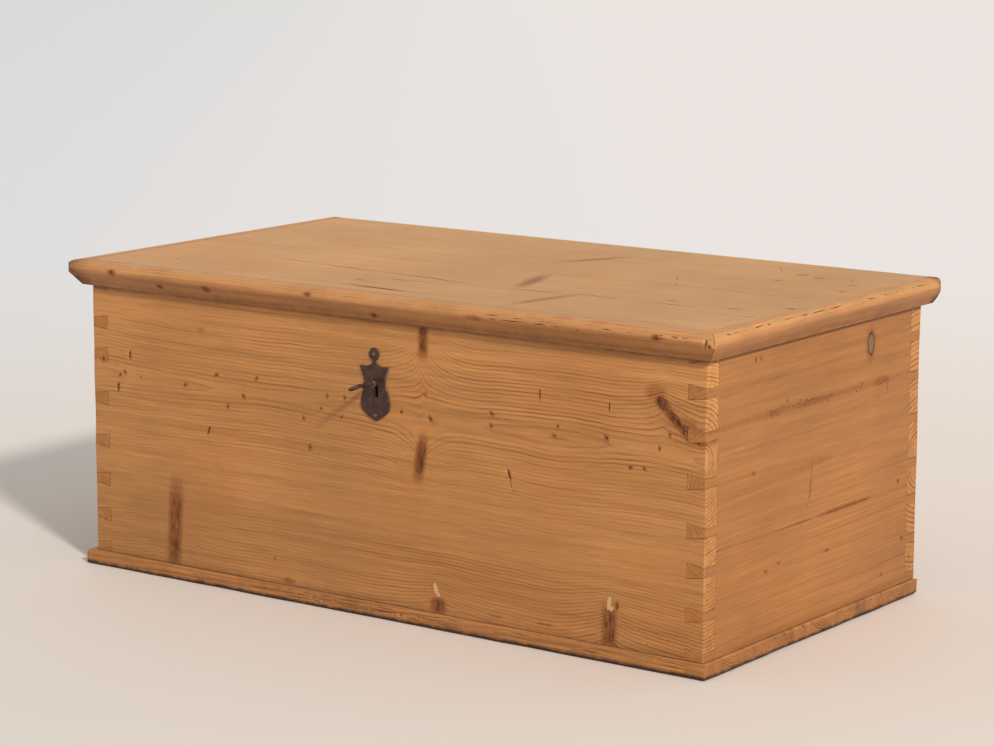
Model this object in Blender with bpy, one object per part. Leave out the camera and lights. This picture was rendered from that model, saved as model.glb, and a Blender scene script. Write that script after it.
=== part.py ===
"""Dovetailed pine chest with a moulded lid, two strap hinges and an iron chest lock with its key.

X runs along the front, Y runs from the front to the back and Z is up. The origin is on the floor,
at the centre of the four walls. All sizes are in metres.
"""
import bmesh
import bpy
from math import asin, atan2, cos, pi, radians, sin, sqrt
from mathutils import Vector

# Carcass
CARCASS_WIDTH = 1.030
CARCASS_DEPTH = 0.550
WALL_HEIGHT = 0.396
FRONT_THICKNESS = 0.027
BACK_THICKNESS = 0.027
SIDE_THICKNESS = 0.027
SIDE_LOWER_PLANK_HEIGHT = 0.138

# Dovetails, cut by hand, so each pin drifts a little from even spacing
TAIL_COUNT = 7
PIN_NARROW = 0.012
PIN_WIDE = 0.020
HALF_PIN_NARROW = 0.012
HALF_PIN_WIDE = 0.016
PIN_DRIFT_LEFT = (-0.0013, -0.0064, -0.0067, -0.0018, 0.0054, -0.0054)
PIN_DRIFT_RIGHT = (0.0036, 0.0032, -0.0025, 0.0040, 0.0067, 0.0046)

# Bottom: three planks that run the length of the chest and stand proud of the walls
BOTTOM_THICKNESS = 0.022
BOTTOM_FRONT_PLANK_WIDTH = 0.139
BOTTOM_BACK_PLANK_WIDTH = 0.100
BOTTOM_PROUD_LEFT = 0.019
BOTTOM_PROUD_RIGHT = 0.004
BOTTOM_PROUD_FRONT = 0.003
BOTTOM_PROUD_BACK = 0.003
BOTTOM_LEFT_ROUNDING = 0.009
BOTTOM_RIGHT_ROUNDING = 0.003
BOTTOM_LONG_ROUNDING = 0.005

# Lid: two boards, with a nosed moulding round the front and both ends
LID_THICKNESS = 0.027
LID_FRONT_BOARD_LEFT_WIDTH = 0.255
LID_FRONT_BOARD_RIGHT_WIDTH = 0.295
LID_REAR_OVERHANG = 0.016
MOULDING_HEIGHT = 0.036
MOULDING_NOSE_OVERHANG = 0.0265
MOULDING_NOSE_HEIGHT = 0.025
MOULDING_FLAT_WIDTH = 0.011
MOULDING_CHAMFER_ANGLE = 53
LID_FRONT_CORNER_RADIUS = 0.010
LID_BACK_CORNER_RADIUS = 0.014
LAP_CLEARANCE = 0.0015

# Strap hinges
HINGE_INSET = 0.185
STRAP_LENGTH = 0.360
STRAP_WIDTH = 0.034
STRAP_TIP_WIDTH = 0.022
STRAP_THICKNESS = 0.0025
BARREL_RADIUS = 0.005
HINGE_PIN_RADIUS = 0.0025
HINGE_PIN_CLEARANCE = 0.0003
HINGE_PIN_HEAD_RADIUS = 0.0042
HINGE_PIN_HEAD_HEIGHT = 0.0018
HINGE_PIN_HEAD_CHAMFER = 0.0008
MIDDLE_KNUCKLE_LENGTH = 0.014
BARREL_CLEARANCE = 0.0008
LEAF_DROP = 0.110
NOTCH_CLEARANCE = 0.0006
STRAP_SCREW_COUNT = 3
STRAP_FIRST_SCREW = 0.050
STRAP_LAST_SCREW_INSET = 0.020
LEAF_SCREW_COUNT = 2
LEAF_FIRST_SCREW = 0.032
LEAF_LAST_SCREW_INSET = 0.018

# Escutcheon
ESCUTCHEON_THICKNESS = 0.002
ESCUTCHEON_EDGE_BEVEL = 0.0006
ESCUTCHEON_LEAN = 1.6
FINIAL_RADIUS = 0.0088
FINIAL_RISE = 0.0390
NECK_HALF_WIDTH = 0.0029
NECK_RISE = 0.0285
SHOULDER_CURVE = ((0.0056, 0.0252), (0.0130, 0.0224))
HORN_TIP = (0.0244, 0.0232)
FLANK_CURVE = ((0.0236, 0.0184), (0.0206, 0.0125), (0.0187, 0.0063), (0.0183, -0.0002), (0.0191, -0.0058),
               (0.0213, -0.0124), (0.0234, -0.0195), (0.0248, -0.0265), (0.0242, -0.0329))
HIP_CURVE = ((0.0213, -0.0388), (0.0144, -0.0442), (0.0070, -0.0490), (0.0, -0.0522))
ESCUTCHEON_LOWER_NAIL_DROP = 0.0436

# Lock, let into the inside of the front board
LOCK_OFFSET = -0.0045
KEYHOLE_DROP = 0.0953
KEYHOLE_RADIUS = 0.0045
KEYHOLE_SLOT_LEFT = -0.0019
KEYHOLE_SLOT_RIGHT = 0.0060
KEYHOLE_SLOT_TOP = -0.0040
KEYHOLE_SLOT_DROP = 0.0190
LOCK_PLATE_WIDTH = 0.120
LOCK_PLATE_HEIGHT = 0.150
LOCK_PLATE_THICKNESS = 0.0025
LOCK_FLANGE_DEPTH = 0.0205
MORTISE_DEPTH = 0.017
MORTISE_MARGIN = 0.008
MORTISE_DROP = 0.024
LOCK_SCREW_INSET = 0.0042
LOCK_SCREW_TOP_INSET = 0.026
LOCK_SCREW_BOTTOM_INSET = 0.010

# Bolt, drawn back by its travel at rest
BOLT_TRAVEL = 0.012
BOLT_THICKNESS = 0.0035
BOLT_STANDOFF = 0.0050
BOLT_RISE = 0.011
BOLT_BAR_HEIGHT = 0.012
BOLT_LEFT_REACH = 0.048
BOLT_RIGHT_REACH = 0.038
TALON_DEPTH = 0.007
TALON_SIDE_CLEARANCE = 0.0012
TONGUE_HEIGHT = 0.007
TONGUE_DROP = 0.016
TONGUE_CLEARANCE = 0.0030
STEM_WIDTH = 0.010
STEM_CLEARANCE = 0.0012
GUIDE_OFFSET = 0.031
GUIDE_WIDTH = 0.006
GUIDE_WALL = 0.0025
SPRING_THICKNESS = 0.0011
SPRING_RISE = 0.013
SPRING_TOE_SETBACK = 0.007
SPRING_TOE_LIFT = 0.004
SPRING_BOW_SETBACK = 0.016
SPRING_BOW_RISE = 0.006
SPRING_SPAN = 0.026
SPRING_HEIGHT = 0.004
SPRING_POST_RADIUS = 0.0030

# Staple under the lid, which the bolt's tongue shoots through
STAPLE_PLATE_LENGTH = 0.064
STAPLE_PLATE_WIDTH = 0.024
STAPLE_PLATE_THICKNESS = 0.0025
STAPLE_THICKNESS = 0.004
STAPLE_BAR = 0.0025
STAPLE_SIDE_CLEARANCE = 0.0008
STAPLE_END_CLEARANCE = 0.0010
STAPLE_SLOT_CLEARANCE = 0.0014
STAPLE_SCREW_SPREAD = 0.022

# Key, with a pipe that turns on the lock's drill pin
KEY_SHANK_RADIUS = 0.0040
KEY_PIPE_WALL = 0.0015
DRILL_PIN_CLEARANCE = 0.0003
DRILL_PIN_LENGTH = 0.019
DRILL_PIN_CHAMFER = 0.0009
KEY_PIPE_END_CLEARANCE = 0.0012
KEY_STAND_OUT = 0.0545
BIT_REACH = 0.0165
BIT_THICKNESS = 0.0032
BIT_FRONT_CLEARANCE = 0.0015
BIT_BACK_OVERLAP = 0.0020
COLLAR_RADIUS = 0.0058
COLLAR_WIDTH = 0.0030
COLLAR_STAND_OFF = 0.0030
SHANK_END_RADIUS = 0.0030
BOW_HALF_WIDTH = 0.0075
BOW_HALF_LENGTH = 0.0095
BOW_WIRE_RADIUS = 0.0020
BOW_LEAN = 30

# Screws and nails
SCREW_HEAD_RADIUS = 0.0044
SCREW_RADIUS = 0.0021
SCREW_LENGTH = 0.020
SCREW_SLOT_WIDTH = 0.0010
SCREW_SLOT_DEPTH = 0.0009
LOCK_SCREW_HEAD_RADIUS = 0.0036
LOCK_SCREW_RADIUS = 0.0015
LOCK_SCREW_LENGTH = 0.014
BOTTOM_NAIL_HEAD = 0.0070
BOTTOM_NAIL_HEAD_HEIGHT = 0.0015
BOTTOM_NAIL_SHANK = 0.0032
BOTTOM_NAIL_TIP = 0.0014
BOTTOM_NAIL_LENGTH = 0.050
BOTTOM_NAIL_SINK = 0.0006
LONG_NAIL_COUNT = 3
LONG_NAIL_INSET = 0.160
SHORT_NAIL_COUNT = 2
SHORT_NAIL_SPREAD = 0.180
ESCUTCHEON_NAIL_HEAD_RADIUS = 0.0030
ESCUTCHEON_NAIL_HEAD_HEIGHT = 0.0018
ESCUTCHEON_NAIL_SHANK_RADIUS = 0.0012
ESCUTCHEON_NAIL_LENGTH = 0.0095
ESCUTCHEON_NAIL_POINT = 0.0019
DOME_STEPS = 3

# Gap between pieces that touch, and how far a cutter runs past what it cuts
GAP = 0.0003
OVERCUT = 0.004

# Head radius, shank radius and length of the two kinds of screw
HINGE_SCREW = (SCREW_HEAD_RADIUS, SCREW_RADIUS, SCREW_LENGTH)
LOCK_SCREW = (LOCK_SCREW_HEAD_RADIUS, LOCK_SCREW_RADIUS, LOCK_SCREW_LENGTH)

# Places worked out from the sizes above
HALF_WIDTH = CARCASS_WIDTH / 2
HALF_DEPTH = CARCASS_DEPTH / 2
WALL_BOTTOM = BOTTOM_THICKNESS + GAP
RIM = WALL_BOTTOM + WALL_HEIGHT
FRONT_INNER = -HALF_DEPTH + FRONT_THICKNESS
BACK_INNER = HALF_DEPTH - BACK_THICKNESS
LID_UNDERSIDE = RIM + GAP
LID_TOP = LID_UNDERSIDE + LID_THICKNESS
LID_REAR = HALF_DEPTH + LID_REAR_OVERHANG
MOULDING_BOTTOM = LID_TOP - MOULDING_HEIGHT

HINGE_AXIS_Y = HALF_DEPTH
HINGE_AXIS_Z = LID_UNDERSIDE - GAP - BARREL_RADIUS
HINGE_X = HALF_WIDTH - HINGE_INSET

KEY_Z = RIM - KEYHOLE_DROP
PLATE_FACE = FRONT_INNER - LOCK_PLATE_THICKNESS
MORTISE_FRONT = FRONT_INNER - MORTISE_DEPTH
MORTISE_HALF_WIDTH = LOCK_PLATE_WIDTH / 2 - MORTISE_MARGIN
BOLT_BACK = PLATE_FACE - BOLT_STANDOFF
BOLT_FRONT = BOLT_BACK - BOLT_THICKNESS
BOLT_CENTRE_Y = (BOLT_BACK + BOLT_FRONT) / 2
BAR_BOTTOM = KEY_Z + BOLT_RISE
BAR_TOP = BAR_BOTTOM + BOLT_BAR_HEIGHT
TONGUE_Z = RIM - TONGUE_DROP
DRILL_PIN_RADIUS = KEY_SHANK_RADIUS - KEY_PIPE_WALL - DRILL_PIN_CLEARANCE

PINE = (0.52, 0.255, 0.095)
PALE_PINE = (0.58, 0.330, 0.150)
BASE_PINE = (0.47, 0.235, 0.090)
IRON = (0.060, 0.045, 0.038)
RUSTY_IRON = (0.130, 0.062, 0.040)
WOOD_ROUGHNESS = 0.6
IRON_ROUGHNESS = 0.55
IRON_METALLIC = 0.8


def clear_scene():
    for obj in list(bpy.data.objects):
        bpy.data.objects.remove(obj, do_unlink=True)


def surface(name, colour, roughness, metallic):
    """A material with the piece's plain colour."""
    material = bpy.data.materials.new(name)
    material.use_nodes = True
    shader = material.node_tree.nodes["Principled BSDF"]
    shader.inputs["Base Color"].default_value = (*colour, 1.0)
    shader.inputs["Roughness"].default_value = roughness
    shader.inputs["Metallic"].default_value = metallic
    return material


def wood(name, colour=PINE):
    return surface(name, colour, WOOD_ROUGHNESS, 0.0)


def iron(name, colour=IRON):
    return surface(name, colour, IRON_ROUGHNESS, IRON_METALLIC)


# Solids, each added as one closed shell to a bmesh

def add_prism(bm, outline, axis, start, end):
    """Extrude an outline along an axis. Its points are (y, z) for x, (x, z) for y and (x, y) for z."""
    place = {
        "x": lambda point, along: (along, point[0], point[1]),
        "y": lambda point, along: (point[0], along, point[1]),
        "z": lambda point, along: (point[0], point[1], along),
    }[axis]
    first = [bm.verts.new(place(point, start)) for point in outline]
    last = [bm.verts.new(place(point, end)) for point in outline]
    faces = [bm.faces.new(first), bm.faces.new(last)]
    for index in range(len(outline)):
        following = (index + 1) % len(outline)
        faces.append(bm.faces.new((first[index], first[following], last[following], last[index])))
    bmesh.ops.recalc_face_normals(bm, faces=faces)


def add_box(bm, low, high):
    outline = [(low[0], low[1]), (high[0], low[1]), (high[0], high[1]), (low[0], high[1])]
    add_prism(bm, outline, "z", low[2], high[2])


def add_turned(bm, profile, base, direction, segments=10, turn=0.0):
    """Turn (radius, height) points about a line through base, with a pole where the radius is 0."""
    to_place = Vector(direction).to_track_quat("Z", "Y").to_matrix()
    rings = []
    for radius, height in profile:
        if radius == 0:
            rings.append([bm.verts.new(Vector(base) + to_place @ Vector((0, 0, height)))])
            continue
        ring = []
        for step in range(segments):
            angle = turn + 2 * pi * step / segments
            point = Vector((radius * cos(angle), radius * sin(angle), height))
            ring.append(bm.verts.new(Vector(base) + to_place @ point))
        rings.append(ring)
    faces = []
    for low, high in zip(rings, rings[1:]):
        for step in range(segments):
            following = (step + 1) % segments
            if len(low) == 1:
                faces.append(bm.faces.new((low[0], high[following], high[step])))
            elif len(high) == 1:
                faces.append(bm.faces.new((low[step], low[following], high[0])))
            else:
                faces.append(bm.faces.new((low[step], low[following], high[following], high[step])))
    for ring in (rings[0], rings[-1]):
        if len(ring) > 1:
            faces.append(bm.faces.new(ring))
    bmesh.ops.recalc_face_normals(bm, faces=faces)


def add_ring(bm, centre, half_x, half_y, wire_radius, lean, segments=24, sides=8):
    """A closed oval of round wire, turned about its length so that its right side is up."""
    right = Vector((cos(radians(lean)), 0, sin(radians(lean))))
    length, normal = Vector((0, 1, 0)), Vector((-right.z, 0, right.x))
    rings = []
    for step in range(segments):
        angle = 2 * pi * step / segments
        middle = right * half_x * cos(angle) + length * half_y * sin(angle)
        outward = (right * cos(angle) / half_x + length * sin(angle) / half_y).normalized()
        ring = []
        for side in range(sides):
            turn = 2 * pi * side / sides
            offset = outward * cos(turn) + normal * sin(turn)
            ring.append(bm.verts.new(Vector(centre) + middle + offset * wire_radius))
        rings.append(ring)
    faces = []
    for step, ring in enumerate(rings):
        following = rings[(step + 1) % segments]
        for side in range(sides):
            beside = (side + 1) % sides
            faces.append(bm.faces.new((ring[side], ring[beside], following[beside], following[side])))
    bmesh.ops.recalc_face_normals(bm, faces=faces)


def arc(centre, radius, start, end, steps):
    """Points along an arc, with its angles in degrees."""
    points = []
    for step in range(steps + 1):
        angle = radians(start + (end - start) * step / steps)
        points.append((centre[0] + radius * cos(angle), centre[1] + radius * sin(angle)))
    return points


def smooth_line(points, steps):
    """A curve through the points, which leaves its first and last point towards their neighbours."""
    padded = [points[0], *points, points[-1]]
    curve = [points[0]]
    for before, start, end, after in zip(padded, padded[1:], padded[2:], padded[3:]):
        for step in range(1, steps + 1):
            t = step / steps
            curve.append(tuple(
                0.5 * (2 * b + (c - a) * t + (2 * a - 5 * b + 4 * c - d) * t * t
                       + (3 * b - a - 3 * c + d) * t ** 3)
                for a, b, c, d in zip(before, start, end, after)))
    return curve


# Objects

def mesh_object(name, bm, material=None, origin=(0, 0, 0), parent=None):
    """Put a bmesh into the scene, with its origin where the piece turns or slides."""
    bmesh.ops.translate(bm, verts=bm.verts, vec=-Vector(origin))
    mesh = bpy.data.meshes.new(name)
    bm.to_mesh(mesh)
    bm.free()
    obj = bpy.data.objects.new(name, mesh)
    bpy.context.scene.collection.objects.link(obj)
    obj.location = Vector(origin)
    if parent is not None:
        obj.parent = parent
        obj.location = Vector(origin) - parent.location
    if material is not None:
        mesh.materials.append(material)
    return obj


def cutter(name, fill, parent=None):
    """A hidden solid that a piece is cut with, which moves with what it cuts."""
    bm = bmesh.new()
    fill(bm)
    obj = mesh_object(name, bm, parent=parent)
    obj.hide_render = True
    obj.display_type = "WIRE"
    return obj


def shape(obj, tool, operation="DIFFERENCE"):
    modifier = obj.modifiers.new(tool.name, "BOOLEAN")
    modifier.operation = operation
    modifier.solver = "EXACT"
    modifier.object = tool


def piece(name, fill, material, origin=(0, 0, 0), parent=None, cut_by=(), trim_to=()):
    """Make a piece: its solids, what is cut out of it and what it is trimmed to."""
    bm = bmesh.new()
    fill(bm)
    obj = mesh_object(name, bm, material, origin, parent)
    for tool in trim_to:
        shape(obj, tool, "INTERSECT")
    for tool in cut_by:
        shape(obj, tool)
    return obj


def round_shading(obj):
    obj.data.shade_smooth()
    obj.data.set_sharp_from_angle(angle=radians(35))


def axis_empty(name, location):
    empty = bpy.data.objects.new(name, None)
    bpy.context.scene.collection.objects.link(empty)
    empty.location = location
    return empty


# Screws and nails

def screw_profile(head_radius, radius, length):
    """From the tip to the flat head, which is flush with the face and cone-shaped at 45 degrees below."""
    return [(0, -length), (radius, -length * 2 / 3), (radius, radius - head_radius), (head_radius, 0)]


def screw_hole_profile(head_radius, radius, length):
    """The screw's own shape, a gap larger all round."""
    rim = head_radius + GAP * sqrt(2)
    return [(radius + GAP, -length - GAP), (radius + GAP, radius + GAP - rim), (rim, 0), (rim, OVERCUT)]


def add_screw_slots(bm, places, direction, head_radius, across):
    """The slot in each head, which runs along the given direction."""
    out = Vector(direction)
    for place in places:
        middle = Vector(place)
        along = Vector(across).normalized()
        side = out.cross(along)
        reach = along * (head_radius + OVERCUT) + side * (SCREW_SLOT_WIDTH / 2)
        depth = out * SCREW_SLOT_DEPTH
        low = middle - reach - depth
        high = middle + reach + out * OVERCUT
        add_box(bm, [min(a, b) for a, b in zip(low, high)], [max(a, b) for a, b in zip(low, high)])


def add_screw_holes(bm, places, direction, head_radius, radius, length):
    for place in places:
        add_turned(bm, screw_hole_profile(head_radius, radius, length), place, direction, segments=8)


def spaced(low, high, count):
    """Even places from low to high."""
    return [low + (high - low) * index / (count - 1) for index in range(count)]


# Dovetails

def pin_edges(drifts):
    """Each pin's lower and upper edge at the outer face and at the inner face of its side board."""
    spacing = WALL_HEIGHT / TAIL_COUNT
    pins = [((WALL_BOTTOM - OVERCUT, WALL_BOTTOM + HALF_PIN_NARROW),
             (WALL_BOTTOM - OVERCUT, WALL_BOTTOM + HALF_PIN_WIDE))]
    for index in range(TAIL_COUNT - 1):
        centre = WALL_BOTTOM + (index + 1) * spacing + drifts[index % len(drifts)]
        pins.append(((centre - PIN_NARROW / 2, centre + PIN_NARROW / 2),
                     (centre - PIN_WIDE / 2, centre + PIN_WIDE / 2)))
    pins.append(((RIM - HALF_PIN_NARROW, RIM + OVERCUT), (RIM - HALF_PIN_WIDE, RIM + OVERCUT)))
    return pins


def slanted(outer_edge, inner_edge, depth):
    """The height of a slanted edge at a depth below the side board's outer face."""
    return outer_edge + (inner_edge - outer_edge) * depth / SIDE_THICKNESS


def add_pin_sockets(bm, side, drifts, y_start, y_end):
    """What the pins take out of a front or back board at one end. side is -1 for left, 1 for right."""
    near, far = -OVERCUT, SIDE_THICKNESS + GAP
    for outer, inner in pin_edges(drifts):
        outline = [
            (side * (HALF_WIDTH - near), slanted(outer[0], inner[0], near) - GAP),
            (side * (HALF_WIDTH - far), slanted(outer[0], inner[0], far) - GAP),
            (side * (HALF_WIDTH - far), slanted(outer[1], inner[1], far) + GAP),
            (side * (HALF_WIDTH - near), slanted(outer[1], inner[1], near) + GAP),
        ]
        add_prism(bm, outline, "y", y_start, y_end)


def add_tail_sockets(bm, side, drifts, y_start, y_end):
    """What the tails take out of a side board at its front or back end."""
    near, far = -OVERCUT, SIDE_THICKNESS + OVERCUT
    pins = pin_edges(drifts)
    for (outer_low, inner_low), (outer_high, inner_high) in zip(pins, pins[1:]):
        outline = [
            (side * (HALF_WIDTH - near), slanted(outer_low[1], inner_low[1], near)),
            (side * (HALF_WIDTH - far), slanted(outer_low[1], inner_low[1], far)),
            (side * (HALF_WIDTH - far), slanted(outer_high[0], inner_high[0], far)),
            (side * (HALF_WIDTH - near), slanted(outer_high[0], inner_high[0], near)),
        ]
        add_prism(bm, outline, "y", y_start, y_end)


# Keyhole and escutcheon outlines, about the key's axis

def keyhole_outline():
    """A round hole with a worn slot below it for the key's bit, which is wider to the right."""
    right_angle = 180 / pi * asin(KEYHOLE_SLOT_TOP / KEYHOLE_RADIUS)
    left_angle = 270 + 180 / pi * asin(KEYHOLE_SLOT_LEFT / KEYHOLE_RADIUS)
    rounded = arc((LOCK_OFFSET, KEY_Z), KEYHOLE_RADIUS, right_angle, left_angle, 14)
    return rounded + [(LOCK_OFFSET + KEYHOLE_SLOT_LEFT, KEY_Z - KEYHOLE_SLOT_DROP),
                      (LOCK_OFFSET + KEYHOLE_SLOT_RIGHT, KEY_Z - KEYHOLE_SLOT_DROP),
                      (LOCK_OFFSET + KEYHOLE_SLOT_RIGHT, KEY_Z + KEYHOLE_SLOT_TOP)]


def on_escutcheon(x, z):
    """A place on the plate, which leans a little about the key's axis."""
    lean = radians(ESCUTCHEON_LEAN)
    return LOCK_OFFSET + x * cos(lean) - z * sin(lean), KEY_Z + z * cos(lean) + x * sin(lean)


def escutcheon_outline():
    """A shield with two horns, a waist and a full belly, under a round finial."""
    neck_angle = 180 / pi * asin(NECK_HALF_WIDTH / FINIAL_RADIUS)
    finial = arc((0, FINIAL_RISE), FINIAL_RADIUS, 90, -90 + neck_angle, 8)
    collar = smooth_line([finial[-1], (NECK_HALF_WIDTH, NECK_RISE), *SHOULDER_CURVE, HORN_TIP], 2)
    flank = smooth_line([HORN_TIP, *FLANK_CURVE, *HIP_CURVE], 2)
    right = finial + collar[1:] + flank[1:]
    left = [(-x, z) for x, z in reversed(right[1:-1])]
    return [on_escutcheon(x, z) for x, z in right + left]


# Moulding outline, as (distance out from the wall's face, height)

def moulding_outline():
    """A flat top that rolls over to the nose, then a chamfer back in to a narrow underside."""
    flat = LAP_CLEARANCE + MOULDING_FLAT_WIDTH
    reach = MOULDING_NOSE_OVERHANG - flat
    rise = MOULDING_HEIGHT - MOULDING_NOSE_HEIGHT
    slope = radians(MOULDING_CHAMFER_ANGLE)
    end = -atan2(cos(slope) * rise, sin(slope) * reach)
    points = [(LAP_CLEARANCE, 0), (LAP_CLEARANCE, MOULDING_HEIGHT)]
    steps = 9
    for step in range(steps + 1):
        angle = pi / 2 + (end - pi / 2) * step / steps
        points.append((flat + reach * cos(angle), MOULDING_NOSE_HEIGHT + rise * sin(angle)))
    last_out, last_up = points[-1]
    points.append((last_out - last_up * cos(slope) / sin(slope), 0))
    return points


def rounded_outline(left, right, front, back, front_radius, back_radius):
    """A rectangle in plan with round corners."""
    return (arc((left + front_radius, front + front_radius), front_radius, 180, 270, 6)
            + arc((right - front_radius, front + front_radius), front_radius, 270, 360, 6)
            + arc((right - back_radius, back - back_radius), back_radius, 0, 90, 6)
            + arc((left + back_radius, back - back_radius), back_radius, 90, 180, 6))


# Pieces of the carcass

def bottom_nail_places():
    """Where nails go up through the bottom into the walls."""
    places = []
    for x in spaced(-HALF_WIDTH + LONG_NAIL_INSET, HALF_WIDTH - LONG_NAIL_INSET, LONG_NAIL_COUNT):
        places.append((x, -HALF_DEPTH + FRONT_THICKNESS / 2, BOTTOM_NAIL_SINK))
        places.append((x, HALF_DEPTH - BACK_THICKNESS / 2, BOTTOM_NAIL_SINK))
    for y in spaced(-SHORT_NAIL_SPREAD / 2, SHORT_NAIL_SPREAD / 2, SHORT_NAIL_COUNT):
        places.append((-HALF_WIDTH + SIDE_THICKNESS / 2, y, BOTTOM_NAIL_SINK))
        places.append((HALF_WIDTH - SIDE_THICKNESS / 2, y, BOTTOM_NAIL_SINK))
    return places


def add_bottom_nail(bm, place):
    """A square cut nail that tapers up from its flat head."""
    corner = sqrt(2) / 2
    profile = [(BOTTOM_NAIL_HEAD * corner, 0), (BOTTOM_NAIL_HEAD * corner, BOTTOM_NAIL_HEAD_HEIGHT),
               (BOTTOM_NAIL_SHANK * corner, BOTTOM_NAIL_HEAD_HEIGHT),
               (BOTTOM_NAIL_TIP * corner, BOTTOM_NAIL_LENGTH)]
    add_turned(bm, profile, place, (0, 0, 1), segments=4, turn=pi / 4)


def add_bottom_nail_holes(bm):
    """Square holes with a wider place for the head, all a gap wider than the nail."""
    corner = sqrt(2) / 2
    head, shank, tip = [size * corner + GAP * 2 * corner
                        for size in (BOTTOM_NAIL_HEAD, BOTTOM_NAIL_SHANK, BOTTOM_NAIL_TIP)]
    step = BOTTOM_NAIL_HEAD_HEIGHT + GAP
    profile = [(head, -OVERCUT), (head, step), (shank, step), (tip, BOTTOM_NAIL_LENGTH + GAP)]
    for place in bottom_nail_places():
        add_turned(bm, profile, place, (0, 0, 1), segments=4, turn=pi / 4)


def build_bottom(nail_holes):
    low_x = -HALF_WIDTH - BOTTOM_PROUD_LEFT
    high_x = HALF_WIDTH + BOTTOM_PROUD_RIGHT
    low_y = -HALF_DEPTH - BOTTOM_PROUD_FRONT
    high_y = HALF_DEPTH + BOTTOM_PROUD_BACK
    first_seam = low_y + BOTTOM_FRONT_PLANK_WIDTH
    second_seam = high_y - BOTTOM_BACK_PLANK_WIDTH
    top = BOTTOM_THICKNESS

    def add_long_envelope(bm):
        left, right = BOTTOM_LEFT_ROUNDING, BOTTOM_RIGHT_ROUNDING
        outline = ([(low_x, -OVERCUT)] + arc((low_x + left, top - left), left, 180, 90, 6)
                   + arc((high_x - right, top - right), right, 90, 0, 4) + [(high_x, -OVERCUT)])
        add_prism(bm, outline, "y", low_y - OVERCUT, high_y + OVERCUT)

    def add_cross_envelope(bm):
        edge = BOTTOM_LONG_ROUNDING
        outline = ([(low_y, -OVERCUT)] + arc((low_y + edge, top - edge), edge, 180, 90, 5)
                   + arc((high_y - edge, top - edge), edge, 90, 0, 5) + [(high_y, -OVERCUT)])
        add_prism(bm, outline, "x", low_x - OVERCUT, high_x + OVERCUT)

    envelopes = [cutter("bottom_long_envelope", add_long_envelope),
                 cutter("bottom_cross_envelope", add_cross_envelope)]
    planks = {
        "bottom_front_plank": (low_y - OVERCUT, first_seam),
        "bottom_middle_plank": (first_seam + GAP, second_seam),
        "bottom_back_plank": (second_seam + GAP, high_y + OVERCUT),
    }
    for name, (start, end) in planks.items():
        def add_plank(bm):
            add_box(bm, (low_x - OVERCUT, start, 0), (high_x + OVERCUT, end, top + OVERCUT))
        piece(name, add_plank, wood(name, BASE_PINE), trim_to=envelopes, cut_by=[nail_holes])
    material = iron("bottom_nail")
    for number, place in enumerate(bottom_nail_places(), 1):
        piece(f"bottom_nail_{number}", lambda bm: add_bottom_nail(bm, place), material, origin=place)


def build_sides(nail_holes):
    seam = WALL_BOTTOM + SIDE_LOWER_PLANK_HEIGHT
    for side, word, drifts in ((-1, "left", PIN_DRIFT_LEFT), (1, "right", PIN_DRIFT_RIGHT)):
        def add_sockets(bm):
            add_tail_sockets(bm, side, drifts, -HALF_DEPTH - OVERCUT, FRONT_INNER + GAP)
            add_tail_sockets(bm, side, drifts, BACK_INNER - GAP, HALF_DEPTH + OVERCUT)

        sockets = cutter(f"{word}_tail_sockets", add_sockets)
        faces = sorted((side * HALF_WIDTH, side * (HALF_WIDTH - SIDE_THICKNESS)))
        for level, low, high in (("lower", WALL_BOTTOM, seam), ("upper", seam + GAP, RIM)):
            def add_plank(bm):
                add_box(bm, (faces[0], -HALF_DEPTH, low), (faces[1], HALF_DEPTH, high))
            name = f"{word}_side_{level}_plank"
            cuts = [sockets, nail_holes] if level == "lower" else [sockets]
            piece(name, add_plank, wood(name), cut_by=cuts)


def build_front_board(nail_holes, escutcheon_holes, lock_holes):
    def add_board(bm):
        add_box(bm, (-HALF_WIDTH, -HALF_DEPTH, WALL_BOTTOM), (HALF_WIDTH, FRONT_INNER, RIM))

    def add_sockets(bm):
        for side, drifts in ((-1, PIN_DRIFT_LEFT), (1, PIN_DRIFT_RIGHT)):
            add_pin_sockets(bm, side, drifts, -HALF_DEPTH - OVERCUT, FRONT_INNER + OVERCUT)

    def add_mortise(bm):
        add_box(bm, (LOCK_OFFSET - MORTISE_HALF_WIDTH, MORTISE_FRONT, KEY_Z - MORTISE_DROP),
                (LOCK_OFFSET + MORTISE_HALF_WIDTH, FRONT_INNER + OVERCUT, RIM + OVERCUT))

    def add_plate_recess(bm):
        half = LOCK_PLATE_WIDTH / 2 + GAP
        outline = [(FRONT_INNER + OVERCUT, RIM - LOCK_PLATE_HEIGHT - GAP),
                   (PLATE_FACE - GAP, RIM - LOCK_PLATE_HEIGHT - GAP),
                   (PLATE_FACE - GAP, RIM - LOCK_PLATE_THICKNESS - GAP),
                   (FRONT_INNER - LOCK_FLANGE_DEPTH - GAP, RIM - LOCK_PLATE_THICKNESS - GAP),
                   (FRONT_INNER - LOCK_FLANGE_DEPTH - GAP, RIM + OVERCUT),
                   (FRONT_INNER + OVERCUT, RIM + OVERCUT)]
        add_prism(bm, outline, "x", LOCK_OFFSET - half, LOCK_OFFSET + half)

    def add_keyhole(bm):
        add_prism(bm, keyhole_outline(), "y", -HALF_DEPTH - OVERCUT, MORTISE_FRONT + OVERCUT)

    tools = [cutter("front_pin_sockets", add_sockets), cutter("lock_mortise", add_mortise),
             cutter("lock_plate_recess", add_plate_recess), cutter("board_keyhole", add_keyhole)]
    piece("front_board", add_board, wood("front_board"),
          cut_by=tools + [nail_holes, escutcheon_holes, lock_holes])


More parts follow.
